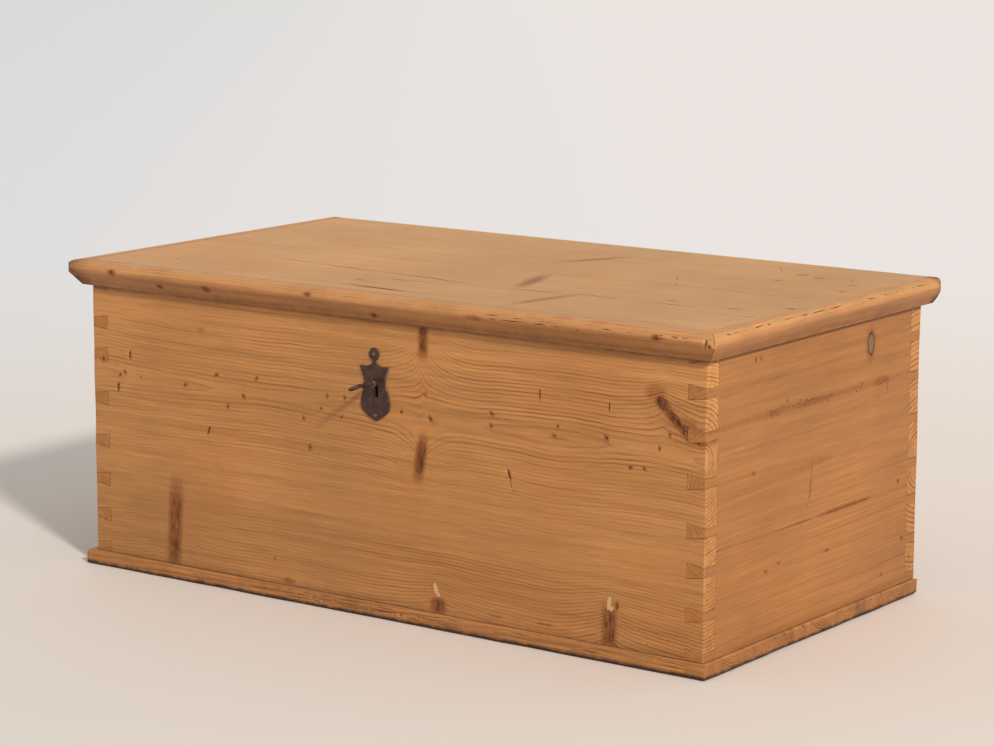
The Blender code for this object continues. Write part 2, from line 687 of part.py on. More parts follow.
def build_back_board(nail_holes, leaf_holes):
    def add_board(bm):
        add_box(bm, (-HALF_WIDTH, BACK_INNER, WALL_BOTTOM), (HALF_WIDTH, HALF_DEPTH, RIM))

    def add_sockets(bm):
        for side, drifts in ((-1, PIN_DRIFT_LEFT), (1, PIN_DRIFT_RIGHT)):
            add_pin_sockets(bm, side, drifts, BACK_INNER - OVERCUT, HALF_DEPTH + OVERCUT)

    def add_hinge_notches(bm):
        half = STRAP_WIDTH / 2 + NOTCH_CLEARANCE
        floor = HINGE_AXIS_Z + leaf_top() - STRAP_THICKNESS - GAP
        for side in (-1, 1):
            add_box(bm, (side * HINGE_X - half, BACK_INNER - OVERCUT, floor),
                    (side * HINGE_X + half, HALF_DEPTH + OVERCUT, RIM + OVERCUT))

    def add_barrel_housings(bm):
        half = STRAP_WIDTH / 2 + HINGE_PIN_HEAD_HEIGHT + NOTCH_CLEARANCE
        radius = BARREL_RADIUS + BARREL_CLEARANCE
        for side in (-1, 1):
            start = (side * HINGE_X - half, HINGE_AXIS_Y, HINGE_AXIS_Z)
            add_turned(bm, [(radius, 0), (radius, 2 * half)], start, (1, 0, 0), segments=20)

    tools = [cutter("back_pin_sockets", add_sockets), cutter("hinge_notches", add_hinge_notches),
             cutter("barrel_housings", add_barrel_housings)]
    piece("back_board", add_board, wood("back_board"), cut_by=tools + [nail_holes, leaf_holes])


# Pieces of the lid

def lid_seam(x):
    """How far back the seam between the two lid boards lies, which runs slightly askew."""
    share = (x + HALF_WIDTH) / CARCASS_WIDTH
    left = -HALF_DEPTH + LID_FRONT_BOARD_LEFT_WIDTH
    right = -HALF_DEPTH + LID_FRONT_BOARD_RIGHT_WIDTH
    return left + (right - left) * share


def build_lid_boards(lid_axis, staple_recess, staple_holes, strap_holes):
    edge = HALF_WIDTH + LAP_CLEARANCE - GAP
    front = -HALF_DEPTH - LAP_CLEARANCE + GAP
    boards = {
        "lid_front_board": [(-edge, front), (edge, front), (edge, lid_seam(edge)), (-edge, lid_seam(-edge))],
        "lid_back_board": [(-edge, lid_seam(-edge) + GAP), (edge, lid_seam(edge) + GAP),
                           (edge, LID_REAR), (-edge, LID_REAR)],
    }
    for name, outline in boards.items():
        def add_board(bm):
            add_prism(bm, outline, "z", LID_UNDERSIDE, LID_TOP)
        cuts = [strap_holes]
        if name == "lid_front_board":
            cuts += [staple_recess, staple_holes]
        piece(name, add_board, wood(name, PALE_PINE), origin=lid_axis.location, parent=lid_axis, cut_by=cuts)


def add_front_moulding(bm):
    """The front strip, cut to a mitre at both ends: each outline point sets its own end."""
    outline = moulding_outline()
    left = [bm.verts.new((-HALF_WIDTH - out, -HALF_DEPTH - out, MOULDING_BOTTOM + up)) for out, up in outline]
    right = [bm.verts.new((HALF_WIDTH + out, -HALF_DEPTH - out, MOULDING_BOTTOM + up)) for out, up in outline]
    close_strip(bm, left, right)


def add_end_moulding(bm, side):
    """A strip at one end: mitred at the front, with a gap to the front strip, and square at the back."""
    outline = moulding_outline()
    front = [bm.verts.new((side * (HALF_WIDTH + out), -HALF_DEPTH - out + GAP * sqrt(2), MOULDING_BOTTOM + up))
             for out, up in outline]
    back = [bm.verts.new((side * (HALF_WIDTH + out), LID_REAR, MOULDING_BOTTOM + up)) for out, up in outline]
    close_strip(bm, front, back)


def close_strip(bm, first, last):
    faces = [bm.faces.new(first), bm.faces.new(last)]
    for index in range(len(first)):
        following = (index + 1) % len(first)
        faces.append(bm.faces.new((first[index], first[following], last[following], last[index])))
    bmesh.ops.recalc_face_normals(bm, faces=faces)


def build_mouldings(lid_axis):
    reach = MOULDING_NOSE_OVERHANG

    def add_plan(bm):
        outline = rounded_outline(-HALF_WIDTH - reach, HALF_WIDTH + reach, -HALF_DEPTH - reach,
                                  LID_REAR + GAP, LID_FRONT_CORNER_RADIUS, LID_BACK_CORNER_RADIUS)
        add_prism(bm, outline, "z", MOULDING_BOTTOM - OVERCUT, LID_TOP + OVERCUT)

    plan = cutter("lid_plan", add_plan, lid_axis)
    strips = {
        "lid_front_moulding": add_front_moulding,
        "lid_left_moulding": lambda bm: add_end_moulding(bm, -1),
        "lid_right_moulding": lambda bm: add_end_moulding(bm, 1),
    }
    for name, fill in strips.items():
        obj = piece(name, fill, wood(name), origin=lid_axis.location, parent=lid_axis,
                    trim_to=[plan])
        round_shading(obj)


# Strap hinges

def leaf_top():
    """The top of the back leaf, seen from the hinge's axis, which lies just under the strap."""
    return BARREL_RADIUS - STRAP_THICKNESS - GAP


def add_strap_profile(bm, x):
    """The lid's strap with its barrel, as wide as the strap: it leaves the barrel at the top."""
    radius, under = BARREL_RADIUS, BARREL_RADIUS - STRAP_THICKNESS
    foot = 180 / pi * asin(under / radius)
    outline = [(-STRAP_LENGTH - OVERCUT, radius)] + arc((0, 0), radius, 90, -180 - foot, 20)
    outline.append((-STRAP_LENGTH - OVERCUT, under))
    outline = [(HINGE_AXIS_Y + y, HINGE_AXIS_Z + z) for y, z in outline]
    add_prism(bm, outline, "x", x - STRAP_WIDTH / 2, x + STRAP_WIDTH / 2)


def add_leaf_profile(bm, x):
    """The back leaf with its barrel: it passes over the back board and turns down inside it."""
    radius, top = BARREL_RADIUS, leaf_top()
    bottom = top - STRAP_THICKNESS
    outer = BACK_INNER - GAP - HINGE_AXIS_Y
    inner = outer - STRAP_THICKNESS
    start = 180 - 180 / pi * asin(top / radius)
    end = -180 - 180 / pi * asin(bottom / radius)
    outline = arc((0, 0), radius, start, end, 20)
    outline += [(outer, bottom), (outer, -LEAF_DROP), (inner, -LEAF_DROP), (inner, top)]
    outline = [(HINGE_AXIS_Y + y, HINGE_AXIS_Z + z) for y, z in outline]
    add_prism(bm, outline, "x", x - STRAP_WIDTH / 2, x + STRAP_WIDTH / 2)


def strap_plan(x):
    """The strap seen from above: straight over the back board, then tapered to a round tip."""
    half, tip = STRAP_WIDTH / 2, STRAP_TIP_WIDTH / 2
    shoulder = BACK_INNER - STRAP_WIDTH / 2
    end = HINGE_AXIS_Y - STRAP_LENGTH + tip
    front_end = arc((x, end), tip, 0, -180, 8)
    return ([(x - half - OVERCUT, HINGE_AXIS_Y + 2 * BARREL_RADIUS), (x - half - OVERCUT, shoulder)]
            + [(x - half, shoulder)] + list(reversed(front_end)) + [(x + half, shoulder)]
            + [(x + half + OVERCUT, shoulder), (x + half + OVERCUT, HINGE_AXIS_Y + 2 * BARREL_RADIUS)])


def strap_screw_places(x):
    under = HINGE_AXIS_Z + BARREL_RADIUS - STRAP_THICKNESS
    first = HINGE_AXIS_Y - STRAP_FIRST_SCREW
    last = HINGE_AXIS_Y - STRAP_LENGTH + STRAP_LAST_SCREW_INSET
    return [(x, y, under) for y in spaced(first, last, STRAP_SCREW_COUNT)]


def leaf_screw_places(x):
    face = BACK_INNER - GAP - STRAP_THICKNESS
    first = HINGE_AXIS_Z - LEAF_FIRST_SCREW
    last = HINGE_AXIS_Z - LEAF_DROP + LEAF_LAST_SCREW_INSET
    return [(x, face, z) for z in spaced(first, last, LEAF_SCREW_COUNT)]


def all_strap_screw_places():
    return strap_screw_places(-HINGE_X) + strap_screw_places(HINGE_X)


def all_leaf_screw_places():
    return leaf_screw_places(-HINGE_X) + leaf_screw_places(HINGE_X)


def build_screws(name, places, direction, across, sizes, parent=None):
    """A set of like screws, each flush with a face at its place and slotted."""
    slots = cutter(f"{name}_slots", lambda bm: add_screw_slots(bm, places, direction, sizes[0], across),
                   parent)
    material = iron(name)
    profile = screw_profile(*sizes)
    for number, place in enumerate(places, 1):
        screw = piece(f"{name}_{number}", lambda bm: add_turned(bm, profile, place, direction, 8), material,
                      origin=place, parent=parent, cut_by=[slots])
        round_shading(screw)


def build_hinges(lid_axis, strap_holes, leaf_holes):
    bore_radius = HINGE_PIN_RADIUS + HINGE_PIN_CLEARANCE
    clear = BARREL_RADIUS + 2 * GAP
    middle = MIDDLE_KNUCKLE_LENGTH / 2
    for side, word in ((-1, "left"), (1, "right")):
        x = side * HINGE_X
        axis_point = (x, HINGE_AXIS_Y, HINGE_AXIS_Z)

        def add_bore(bm):
            start = (x - STRAP_WIDTH, HINGE_AXIS_Y, HINGE_AXIS_Z)
            add_turned(bm, [(bore_radius, 0), (bore_radius, 2 * STRAP_WIDTH)], start, (1, 0, 0), segments=16)

        def add_outer_clearance(bm):
            for low, high in ((x - STRAP_WIDTH, x - middle), (x + middle, x + STRAP_WIDTH)):
                add_box(bm, (low, HINGE_AXIS_Y - clear, HINGE_AXIS_Z - clear),
                        (high, HINGE_AXIS_Y + clear, HINGE_AXIS_Z + clear))

        def add_middle_clearance(bm):
            add_box(bm, (x - middle - GAP, HINGE_AXIS_Y - clear, HINGE_AXIS_Z - clear),
                    (x + middle + GAP, HINGE_AXIS_Y + clear, HINGE_AXIS_Z + clear))

        def add_plan(bm):
            add_prism(bm, strap_plan(x), "z", HINGE_AXIS_Z - 2 * clear, HINGE_AXIS_Z + 2 * clear)

        def add_pin(bm):
            end = STRAP_WIDTH / 2 + GAP
            head_height, head_radius = HINGE_PIN_HEAD_HEIGHT, HINGE_PIN_HEAD_RADIUS
            rim_radius = head_radius - HINGE_PIN_HEAD_CHAMFER
            rim_height = head_height - HINGE_PIN_HEAD_CHAMFER / 2
            profile = [(0, -end - head_height), (rim_radius, -end - rim_height),
                       (head_radius, -end), (HINGE_PIN_RADIUS, -end), (HINGE_PIN_RADIUS, end),
                       (head_radius, end), (rim_radius, end + rim_height), (0, end + head_height)]
            add_turned(bm, profile, axis_point, (1, 0, 0), segments=12)

        bore = cutter(f"{word}_hinge_bore", add_bore)
        outer = cutter(f"{word}_hinge_outer_clearance", add_outer_clearance, lid_axis)
        inner = cutter(f"{word}_hinge_middle_clearance", add_middle_clearance)
        plan = cutter(f"{word}_strap_plan", add_plan, lid_axis)
        strap = piece(f"{word}_hinge_strap", lambda bm: add_strap_profile(bm, x), iron(f"{word}_hinge_strap"),
                      origin=axis_point, parent=lid_axis, trim_to=[plan], cut_by=[outer, bore, strap_holes])
        leaf = piece(f"{word}_hinge_back_leaf", lambda bm: add_leaf_profile(bm, x),
                     iron(f"{word}_hinge_back_leaf"), origin=axis_point, cut_by=[inner, bore, leaf_holes])
        pin = piece(f"{word}_hinge_pin", add_pin, iron(f"{word}_hinge_pin"), origin=axis_point)
        for obj in (strap, leaf, pin):
            round_shading(obj)
    build_screws("strap_screw", all_strap_screw_places(), (0, 0, -1), (1, 0, 0), HINGE_SCREW, lid_axis)
    build_screws("back_leaf_screw", all_leaf_screw_places(), (0, -1, 0), (1, 0, 0), HINGE_SCREW)


# Escutcheon and lock

def escutcheon_nail_places():
    """Where the heads bear on the plate: through the finial and through the point."""
    face = -HALF_DEPTH - 2 * GAP - ESCUTCHEON_THICKNESS
    upper, lower = on_escutcheon(0, FINIAL_RISE), on_escutcheon(0, -ESCUTCHEON_LOWER_NAIL_DROP)
    return [(upper[0], face, upper[1]), (lower[0], face, lower[1])]


def add_escutcheon_nail(bm, place):
    """A round nail with a low domed head."""
    radius, height = ESCUTCHEON_NAIL_HEAD_RADIUS, ESCUTCHEON_NAIL_HEAD_HEIGHT
    shank, length = ESCUTCHEON_NAIL_SHANK_RADIUS, ESCUTCHEON_NAIL_LENGTH
    dome = [(radius * cos(angle), height * sin(angle)) for angle in spaced(0, pi / 2, DOME_STEPS + 1)[:-1]]
    profile = [(0, -length), (shank, ESCUTCHEON_NAIL_POINT - length), (shank, 0), *dome, (0, height)]
    add_turned(bm, profile, place, (0, -1, 0), segments=10)


def add_escutcheon_nail_holes(bm):
    radius = ESCUTCHEON_NAIL_SHANK_RADIUS + GAP
    for place in escutcheon_nail_places():
        add_turned(bm, [(radius, -ESCUTCHEON_NAIL_LENGTH - GAP), (radius, OVERCUT)], place, (0, -1, 0),
                   segments=8)


def build_escutcheon(nail_holes):
    back = -HALF_DEPTH - GAP
    face = back - ESCUTCHEON_THICKNESS

    def add_keyhole(bm):
        add_prism(bm, keyhole_outline(), "y", face - OVERCUT, back + OVERCUT)

    keyhole = cutter("escutcheon_keyhole", add_keyhole)
    plate = piece("escutcheon", lambda bm: add_prism(bm, escutcheon_outline(), "y", face, back),
                  iron("escutcheon"))
    bevel = plate.modifiers.new("worn_edge", "BEVEL")
    bevel.width = ESCUTCHEON_EDGE_BEVEL
    bevel.segments = 1
    bevel.limit_method = "ANGLE"
    bevel.angle_limit = radians(60)
    shape(plate, keyhole)
    shape(plate, nail_holes)
    material = iron("escutcheon_nail")
    for word, place in zip(("upper", "lower"), escutcheon_nail_places()):
        nail = piece(f"escutcheon_{word}_nail", lambda bm: add_escutcheon_nail(bm, place), material,
                     origin=place)
        round_shading(nail)


def lock_screw_places():
    half = LOCK_PLATE_WIDTH / 2 - LOCK_SCREW_INSET
    heights = (RIM - LOCK_SCREW_TOP_INSET, RIM - LOCK_PLATE_HEIGHT + LOCK_SCREW_BOTTOM_INSET)
    return [(LOCK_OFFSET + side * half, FRONT_INNER, z) for side in (-1, 1) for z in heights]


def staple_half_depth():
    return BOLT_THICKNESS / 2 + STAPLE_SIDE_CLEARANCE + STAPLE_BAR


def build_lock_plate(screw_holes):
    """The plate flush with the inside of the board, and its flange over the rim with the staple's slot."""
    half = LOCK_PLATE_WIDTH / 2

    def add_plate(bm):
        outline = [(FRONT_INNER, RIM - LOCK_PLATE_HEIGHT), (FRONT_INNER, RIM),
                   (FRONT_INNER - LOCK_FLANGE_DEPTH, RIM),
                   (FRONT_INNER - LOCK_FLANGE_DEPTH, RIM - LOCK_PLATE_THICKNESS),
                   (PLATE_FACE, RIM - LOCK_PLATE_THICKNESS), (PLATE_FACE, RIM - LOCK_PLATE_HEIGHT)]
        add_prism(bm, outline, "x", LOCK_OFFSET - half, LOCK_OFFSET + half)

    def add_slot(bm):
        half_x = STAPLE_THICKNESS / 2 + STAPLE_SLOT_CLEARANCE
        half_y = staple_half_depth() + STAPLE_SLOT_CLEARANCE
        add_box(bm, (LOCK_OFFSET - half_x, BOLT_CENTRE_Y - half_y, RIM - LOCK_PLATE_THICKNESS - OVERCUT),
                (LOCK_OFFSET + half_x, BOLT_CENTRE_Y + half_y, RIM + OVERCUT))

    piece("lock_plate", add_plate, iron("lock_plate"),
          cut_by=[cutter("staple_slot", add_slot), screw_holes])


def build_lock_works():
    """What is fixed to the plate inside the mortise: the drill pin, two guides and the spring."""
    def add_pin(bm):
        profile = [(DRILL_PIN_RADIUS, 0), (DRILL_PIN_RADIUS, DRILL_PIN_LENGTH - DRILL_PIN_CHAMFER),
                   (DRILL_PIN_RADIUS - DRILL_PIN_CHAMFER, DRILL_PIN_LENGTH)]
        add_turned(bm, profile, (LOCK_OFFSET, PLATE_FACE - GAP, KEY_Z), (0, -1, 0), segments=12)

    round_shading(piece("drill_pin", add_pin, iron("drill_pin")))

    window = [(BOLT_FRONT - GAP, BAR_BOTTOM - GAP), (BOLT_BACK + GAP, BAR_BOTTOM - GAP),
              (BOLT_BACK + GAP, BAR_TOP + GAP), (BOLT_FRONT - GAP, BAR_TOP + GAP)]
    frame = [(BOLT_FRONT - GAP - GUIDE_WALL, BAR_BOTTOM - GAP - GUIDE_WALL),
             (PLATE_FACE - GAP, BAR_BOTTOM - GAP - GUIDE_WALL),
             (PLATE_FACE - GAP, BAR_TOP + GAP + GUIDE_WALL),
             (BOLT_FRONT - GAP - GUIDE_WALL, BAR_TOP + GAP + GUIDE_WALL)]
    for side, word in ((-1, "left"), (1, "right")):
        middle = LOCK_OFFSET + side * GUIDE_OFFSET
        half = GUIDE_WIDTH / 2

        def add_window(bm):
            add_prism(bm, window, "x", middle - half - OVERCUT, middle + half + OVERCUT)

        opening = cutter(f"{word}_guide_window", add_window)
        piece(f"{word}_bolt_guide", lambda bm: add_prism(bm, frame, "x", middle - half, middle + half),
              iron(f"{word}_bolt_guide"), cut_by=[opening])

    post_x = LOCK_OFFSET + SPRING_SPAN
    post_z = BAR_TOP + SPRING_RISE

    def add_post(bm):
        profile = [(SPRING_POST_RADIUS, 0), (SPRING_POST_RADIUS, PLATE_FACE - GAP - BOLT_FRONT)]
        add_turned(bm, profile, (post_x, PLATE_FACE - GAP, post_z), (0, -1, 0), segments=12)

    def add_leaf(bm):
        """A bowed strip from the post, which presses down on the bolt's top edge."""
        touch = BAR_TOP + GAP
        left = LOCK_OFFSET - stem_setback() + 2 * GAP + BOLT_TRAVEL
        route = smooth_line([(left, touch + SPRING_TOE_LIFT),
                             (left + SPRING_TOE_SETBACK, touch + SPRING_THICKNESS / 2),
                             (left + SPRING_BOW_SETBACK, touch + SPRING_BOW_RISE), (post_x, post_z)], 4)
        upper, lower = [], []
        for index, (x, z) in enumerate(route):
            before = route[max(index - 1, 0)]
            after = route[min(index + 1, len(route) - 1)]
            along = Vector((after[0] - before[0], after[1] - before[1])).normalized()
            offset = Vector((-along.y, along.x)) * (SPRING_THICKNESS / 2)
            upper.append((x + offset.x, z + offset.y))
            lower.append((x - offset.x, z - offset.y))
        start = BOLT_CENTRE_Y - SPRING_HEIGHT / 2
        add_prism(bm, upper + list(reversed(lower)), "y", start, start + SPRING_HEIGHT)

    spring = piece("bolt_spring", add_post, iron("bolt_spring"))
    shape(spring, cutter("spring_leaf", add_leaf), "UNION")


def talon_reach():
    """How far the bit's corners reach left and right of the key's axis while above the bolt's edge."""
    corner = sqrt(BIT_REACH ** 2 + (BIT_THICKNESS / 2) ** 2)
    lead = atan2(BIT_THICKNESS / 2, BIT_REACH)
    enter = asin(BOLT_RISE / corner) - lead
    shift = BOLT_TRAVEL * enter / pi
    left = BIT_REACH * cos(enter) + BIT_THICKNESS / 2 * sin(enter) + shift
    right = BIT_REACH * cos(enter) + BIT_THICKNESS / 2 * sin(enter) - (BOLT_TRAVEL - shift)
    return left + TALON_SIDE_CLEARANCE, right + TALON_SIDE_CLEARANCE


def stem_setback():
    """How far left of the staple's middle the stem stands at rest, so that it stays clear when shot."""
    return BOLT_TRAVEL + STAPLE_THICKNESS / 2 + STEM_CLEARANCE


def build_bolt(bolt_axis):
    """A bar that the key's bit drives, with a stem up to the tongue that enters the staple."""
    left, right = talon_reach()
    x = LOCK_OFFSET
    tongue_top, tongue_bottom = TONGUE_Z + TONGUE_HEIGHT / 2, TONGUE_Z - TONGUE_HEIGHT / 2
    stem_right = x - stem_setback()
    stem_left = stem_right - STEM_WIDTH
    tongue_tip = x - STAPLE_THICKNESS / 2 - TONGUE_CLEARANCE
    outline = [
        (x - BOLT_LEFT_REACH, BAR_BOTTOM), (x - left, BAR_BOTTOM), (x - left, BAR_BOTTOM + TALON_DEPTH),
        (x + right, BAR_BOTTOM + TALON_DEPTH), (x + right, BAR_BOTTOM), (x + BOLT_RIGHT_REACH, BAR_BOTTOM),
        (x + BOLT_RIGHT_REACH, BAR_TOP), (stem_right, BAR_TOP), (stem_right, tongue_bottom),
        (tongue_tip, tongue_bottom), (tongue_tip, tongue_top), (stem_left, tongue_top),
        (stem_left, BAR_TOP), (x - BOLT_LEFT_REACH, BAR_TOP),
    ]
    piece("lock_bolt", lambda bm: add_prism(bm, outline, "y", BOLT_FRONT, BOLT_BACK), iron("lock_bolt"),
          origin=bolt_axis.location, parent=bolt_axis)


def build_key(key_axis):
    """Shank with its pipe, collar, bit to the left and a leaning oval bow, in one piece."""
    origin = key_axis.location
    inner_end = PLATE_FACE - KEY_PIPE_END_CLEARANCE
    bow_y = -HALF_DEPTH - KEY_STAND_OUT + BOW_HALF_LENGTH + BOW_WIRE_RADIUS
    shank_end = bow_y + BOW_HALF_LENGTH
    collar = -HALF_DEPTH - GAP - ESCUTCHEON_THICKNESS - COLLAR_STAND_OFF

    def add_shank(bm):
        length = inner_end - shank_end
        collar_start = inner_end - collar
        profile = [(KEY_SHANK_RADIUS, 0), (KEY_SHANK_RADIUS, collar_start), (COLLAR_RADIUS, collar_start),
                   (COLLAR_RADIUS, collar_start + COLLAR_WIDTH), (KEY_SHANK_RADIUS, collar_start + COLLAR_WIDTH),
                   (SHANK_END_RADIUS, length)]
        add_turned(bm, profile, (LOCK_OFFSET, inner_end, KEY_Z), (0, -1, 0), segments=16)

    def add_bit(bm):
        front = MORTISE_FRONT + BIT_FRONT_CLEARANCE
        back = BOLT_BACK + BIT_BACK_OVERLAP
        add_box(bm, (LOCK_OFFSET - BIT_REACH, front, KEY_Z - BIT_THICKNESS / 2),
                (LOCK_OFFSET - KEY_SHANK_RADIUS / 2, back, KEY_Z + BIT_THICKNESS / 2))

    def add_bow(bm):
        add_ring(bm, (LOCK_OFFSET, bow_y, KEY_Z), BOW_HALF_WIDTH, BOW_HALF_LENGTH, BOW_WIRE_RADIUS,
                 BOW_LEAN)

    def add_pipe(bm):
        radius = KEY_SHANK_RADIUS - KEY_PIPE_WALL
        depth = DRILL_PIN_LENGTH + GAP
        add_turned(bm, [(radius, -OVERCUT), (radius, depth)], (LOCK_OFFSET, inner_end, KEY_Z), (0, -1, 0),
                   segments=12)

    key = piece("key", add_shank, iron("key", RUSTY_IRON), origin=origin, parent=key_axis)
    shape(key, cutter("key_bit", add_bit, key_axis), "UNION")
    shape(key, cutter("key_bow", add_bow, key_axis), "UNION")
    shape(key, cutter("key_pipe", add_pipe, key_axis))
    round_shading(key)


def staple_screw_places():
    return [(LOCK_OFFSET + side * STAPLE_SCREW_SPREAD, BOLT_CENTRE_Y, LID_UNDERSIDE) for side in (-1, 1)]


def build_staple(lid_axis, recess, screw_holes):
    """A plate let into the lid's underside, with a staple that hangs down into the lock."""
    low = LID_UNDERSIDE

    def add_plate(bm):
        half_x, half_y = STAPLE_PLATE_LENGTH / 2, STAPLE_PLATE_WIDTH / 2
        add_box(bm, (LOCK_OFFSET - half_x, BOLT_CENTRE_Y - half_y, low),
                (LOCK_OFFSET + half_x, BOLT_CENTRE_Y + half_y, low + STAPLE_PLATE_THICKNESS))

    outer = staple_half_depth()
    eye_half_height = TONGUE_HEIGHT / 2 + STAPLE_END_CLEARANCE
    bottom = TONGUE_Z - eye_half_height - STAPLE_BAR
    half_x = STAPLE_THICKNESS / 2

    def add_loop(bm):
        corner = STAPLE_BAR
        outline = ([(BOLT_CENTRE_Y - outer, low + STAPLE_PLATE_THICKNESS / 2)]
                   + arc((BOLT_CENTRE_Y - outer + corner, bottom + corner), corner, 180, 270, 4)
                   + arc((BOLT_CENTRE_Y + outer - corner, bottom + corner), corner, 270, 360, 4)
                   + [(BOLT_CENTRE_Y + outer, low + STAPLE_PLATE_THICKNESS / 2)])
        add_prism(bm, outline, "x", LOCK_OFFSET - half_x, LOCK_OFFSET + half_x)

    def add_eye(bm):
        inner = outer - STAPLE_BAR
        add_box(bm, (LOCK_OFFSET - half_x - OVERCUT, BOLT_CENTRE_Y - inner, TONGUE_Z - eye_half_height),
                (LOCK_OFFSET + half_x + OVERCUT, BOLT_CENTRE_Y + inner, TONGUE_Z + eye_half_height))

    staple = piece("lid_staple", add_plate, iron("lid_staple"), origin=lid_axis.location, parent=lid_axis)
    shape(staple, cutter("staple_loop", add_loop, lid_axis), "UNION")
    shape(staple, cutter("staple_eye", add_eye, lid_axis))
    shape(staple, screw_holes)
    build_screws("staple_screw", staple_screw_places(), (0, 0, -1), (1, 0, 0), LOCK_SCREW, lid_axis)


def main():
    clear_scene()
    lid_axis = axis_empty("lid_axis", Vector((0, HINGE_AXIS_Y, HINGE_AXIS_Z)))
    key_axis = axis_empty("key_axis", Vector((LOCK_OFFSET, -HALF_DEPTH, KEY_Z)))
    bolt_axis = axis_empty("bolt_axis", Vector((LOCK_OFFSET, BOLT_CENTRE_Y, (BAR_BOTTOM + BAR_TOP) / 2)))
    down, forward, backward = (0, 0, -1), (0, -1, 0), (0, 1, 0)

    nail_holes = cutter("bottom_nail_holes", add_bottom_nail_holes)
    escutcheon_holes = cutter("escutcheon_nail_holes", add_escutcheon_nail_holes)
    strap_holes = cutter("strap_screw_holes", lambda bm: add_screw_holes(
        bm, all_strap_screw_places(), down, *HINGE_SCREW), lid_axis)
    leaf_holes = cutter("leaf_screw_holes", lambda bm: add_screw_holes(
        bm, all_leaf_screw_places(), forward, *HINGE_SCREW))
    staple_holes = cutter("staple_screw_holes", lambda bm: add_screw_holes(
        bm, staple_screw_places(), down, *LOCK_SCREW), lid_axis)
    lock_holes = cutter("lock_screw_holes", lambda bm: add_screw_holes(
        bm, lock_screw_places(), backward, *LOCK_SCREW))

    def add_staple_recess(bm):
        half_x, half_y = STAPLE_PLATE_LENGTH / 2 + GAP, STAPLE_PLATE_WIDTH / 2 + GAP
        add_box(bm, (LOCK_OFFSET - half_x, BOLT_CENTRE_Y - half_y, LID_UNDERSIDE - OVERCUT),
                (LOCK_OFFSET + half_x, BOLT_CENTRE_Y + half_y, LID_UNDERSIDE + STAPLE_PLATE_THICKNESS + GAP))

    staple_recess = cutter("staple_recess", add_staple_recess, lid_axis)

    build_bottom(nail_holes)
    build_sides(nail_holes)
    build_front_board(nail_holes, escutcheon_holes, lock_holes)
    build_back_board(nail_holes, leaf_holes)
    build_lid_boards(lid_axis, staple_recess, staple_holes, strap_holes)
    build_mouldings(lid_axis)
    build_hinges(lid_axis, strap_holes, leaf_holes)
    build_escutcheon(escutcheon_holes)
    build_lock_plate(lock_holes)
    build_screws("lock_screw", lock_screw_places(), backward, (1, 0, 0), LOCK_SCREW)
    build_lock_works()
    build_bolt(bolt_axis)
    build_key(key_axis)
    build_staple(lid_axis, staple_recess, staple_holes)


main()
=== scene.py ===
"""The look of an old waxed pine chest: worked boards, knots, cracks, worm holes and forged iron.

X runs along the front, Y runs from the front to the back and Z is up. All sizes are in metres.
Each board is sliced finely from its CAD solid, worn at its edges, and carries its growth rings as
an attribute that the pine material draws. What the eye reads as a shape is cut or added as one.
"""

import bmesh
import bpy
from math import cos, exp, hypot, pi, radians, sin
from mathutils import Matrix, Vector, noise
from random import Random
from typing import NamedTuple


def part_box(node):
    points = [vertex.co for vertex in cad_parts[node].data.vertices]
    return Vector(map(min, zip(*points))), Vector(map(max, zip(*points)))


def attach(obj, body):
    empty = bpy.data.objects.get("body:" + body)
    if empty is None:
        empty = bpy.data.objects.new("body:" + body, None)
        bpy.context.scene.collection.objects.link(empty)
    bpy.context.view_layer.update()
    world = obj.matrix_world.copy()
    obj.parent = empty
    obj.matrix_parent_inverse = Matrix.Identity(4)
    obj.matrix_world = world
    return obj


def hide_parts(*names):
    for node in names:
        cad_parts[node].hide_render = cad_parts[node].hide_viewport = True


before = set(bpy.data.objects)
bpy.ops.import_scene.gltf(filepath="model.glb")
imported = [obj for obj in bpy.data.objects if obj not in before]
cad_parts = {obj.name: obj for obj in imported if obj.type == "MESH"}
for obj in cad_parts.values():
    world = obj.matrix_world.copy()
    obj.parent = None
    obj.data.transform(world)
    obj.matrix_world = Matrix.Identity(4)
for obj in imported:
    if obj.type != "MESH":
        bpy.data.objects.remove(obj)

bl_info = {
    "name": "Pine Chest",
    "version": (1, 0, 0),
    "blender": (4, 5, 0),
    "location": "View3D > Sidebar > Chest",
    "description": "Dresses the solids of a dovetailed pine chest with worn wood and iron",
    "category": "Add Mesh",
}

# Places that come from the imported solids
FRONT_LOW, FRONT_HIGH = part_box("front_board")
LID_LOW, LID_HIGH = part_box("lid_front_board")
MOULDING_LOW, MOULDING_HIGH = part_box("lid_front_moulding")
BASE_LOW, BASE_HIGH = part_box("bottom_front_plank")
FRONT_FACE = FRONT_LOW.y
LEFT_FACE, RIGHT_FACE = FRONT_LOW.x, FRONT_HIGH.x
BACK_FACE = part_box("back_board")[1].y
LID_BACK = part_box("lid_back_board")[1].y
BASE_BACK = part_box("bottom_back_plank")[1].y
WALL_BOTTOM, RIM = FRONT_LOW.z, FRONT_HIGH.z
WALL = FRONT_HIGH.y - FRONT_LOW.y
LID_TOP = LID_HIGH.z
CHEST_LOW = Vector((LEFT_FACE, FRONT_FACE, WALL_BOTTOM))
CHEST_HIGH = Vector((RIGHT_FACE, BACK_FACE, RIM))
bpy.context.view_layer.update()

# Kinds of node sockets
VECTOR, FLOAT, COLOUR = "NodeSocketVector", "NodeSocketFloat", "NodeSocketColor"
WHOLE, MATERIAL, GEOMETRY = "NodeSocketInt", "NodeSocketMaterial", "NodeSocketGeometry"

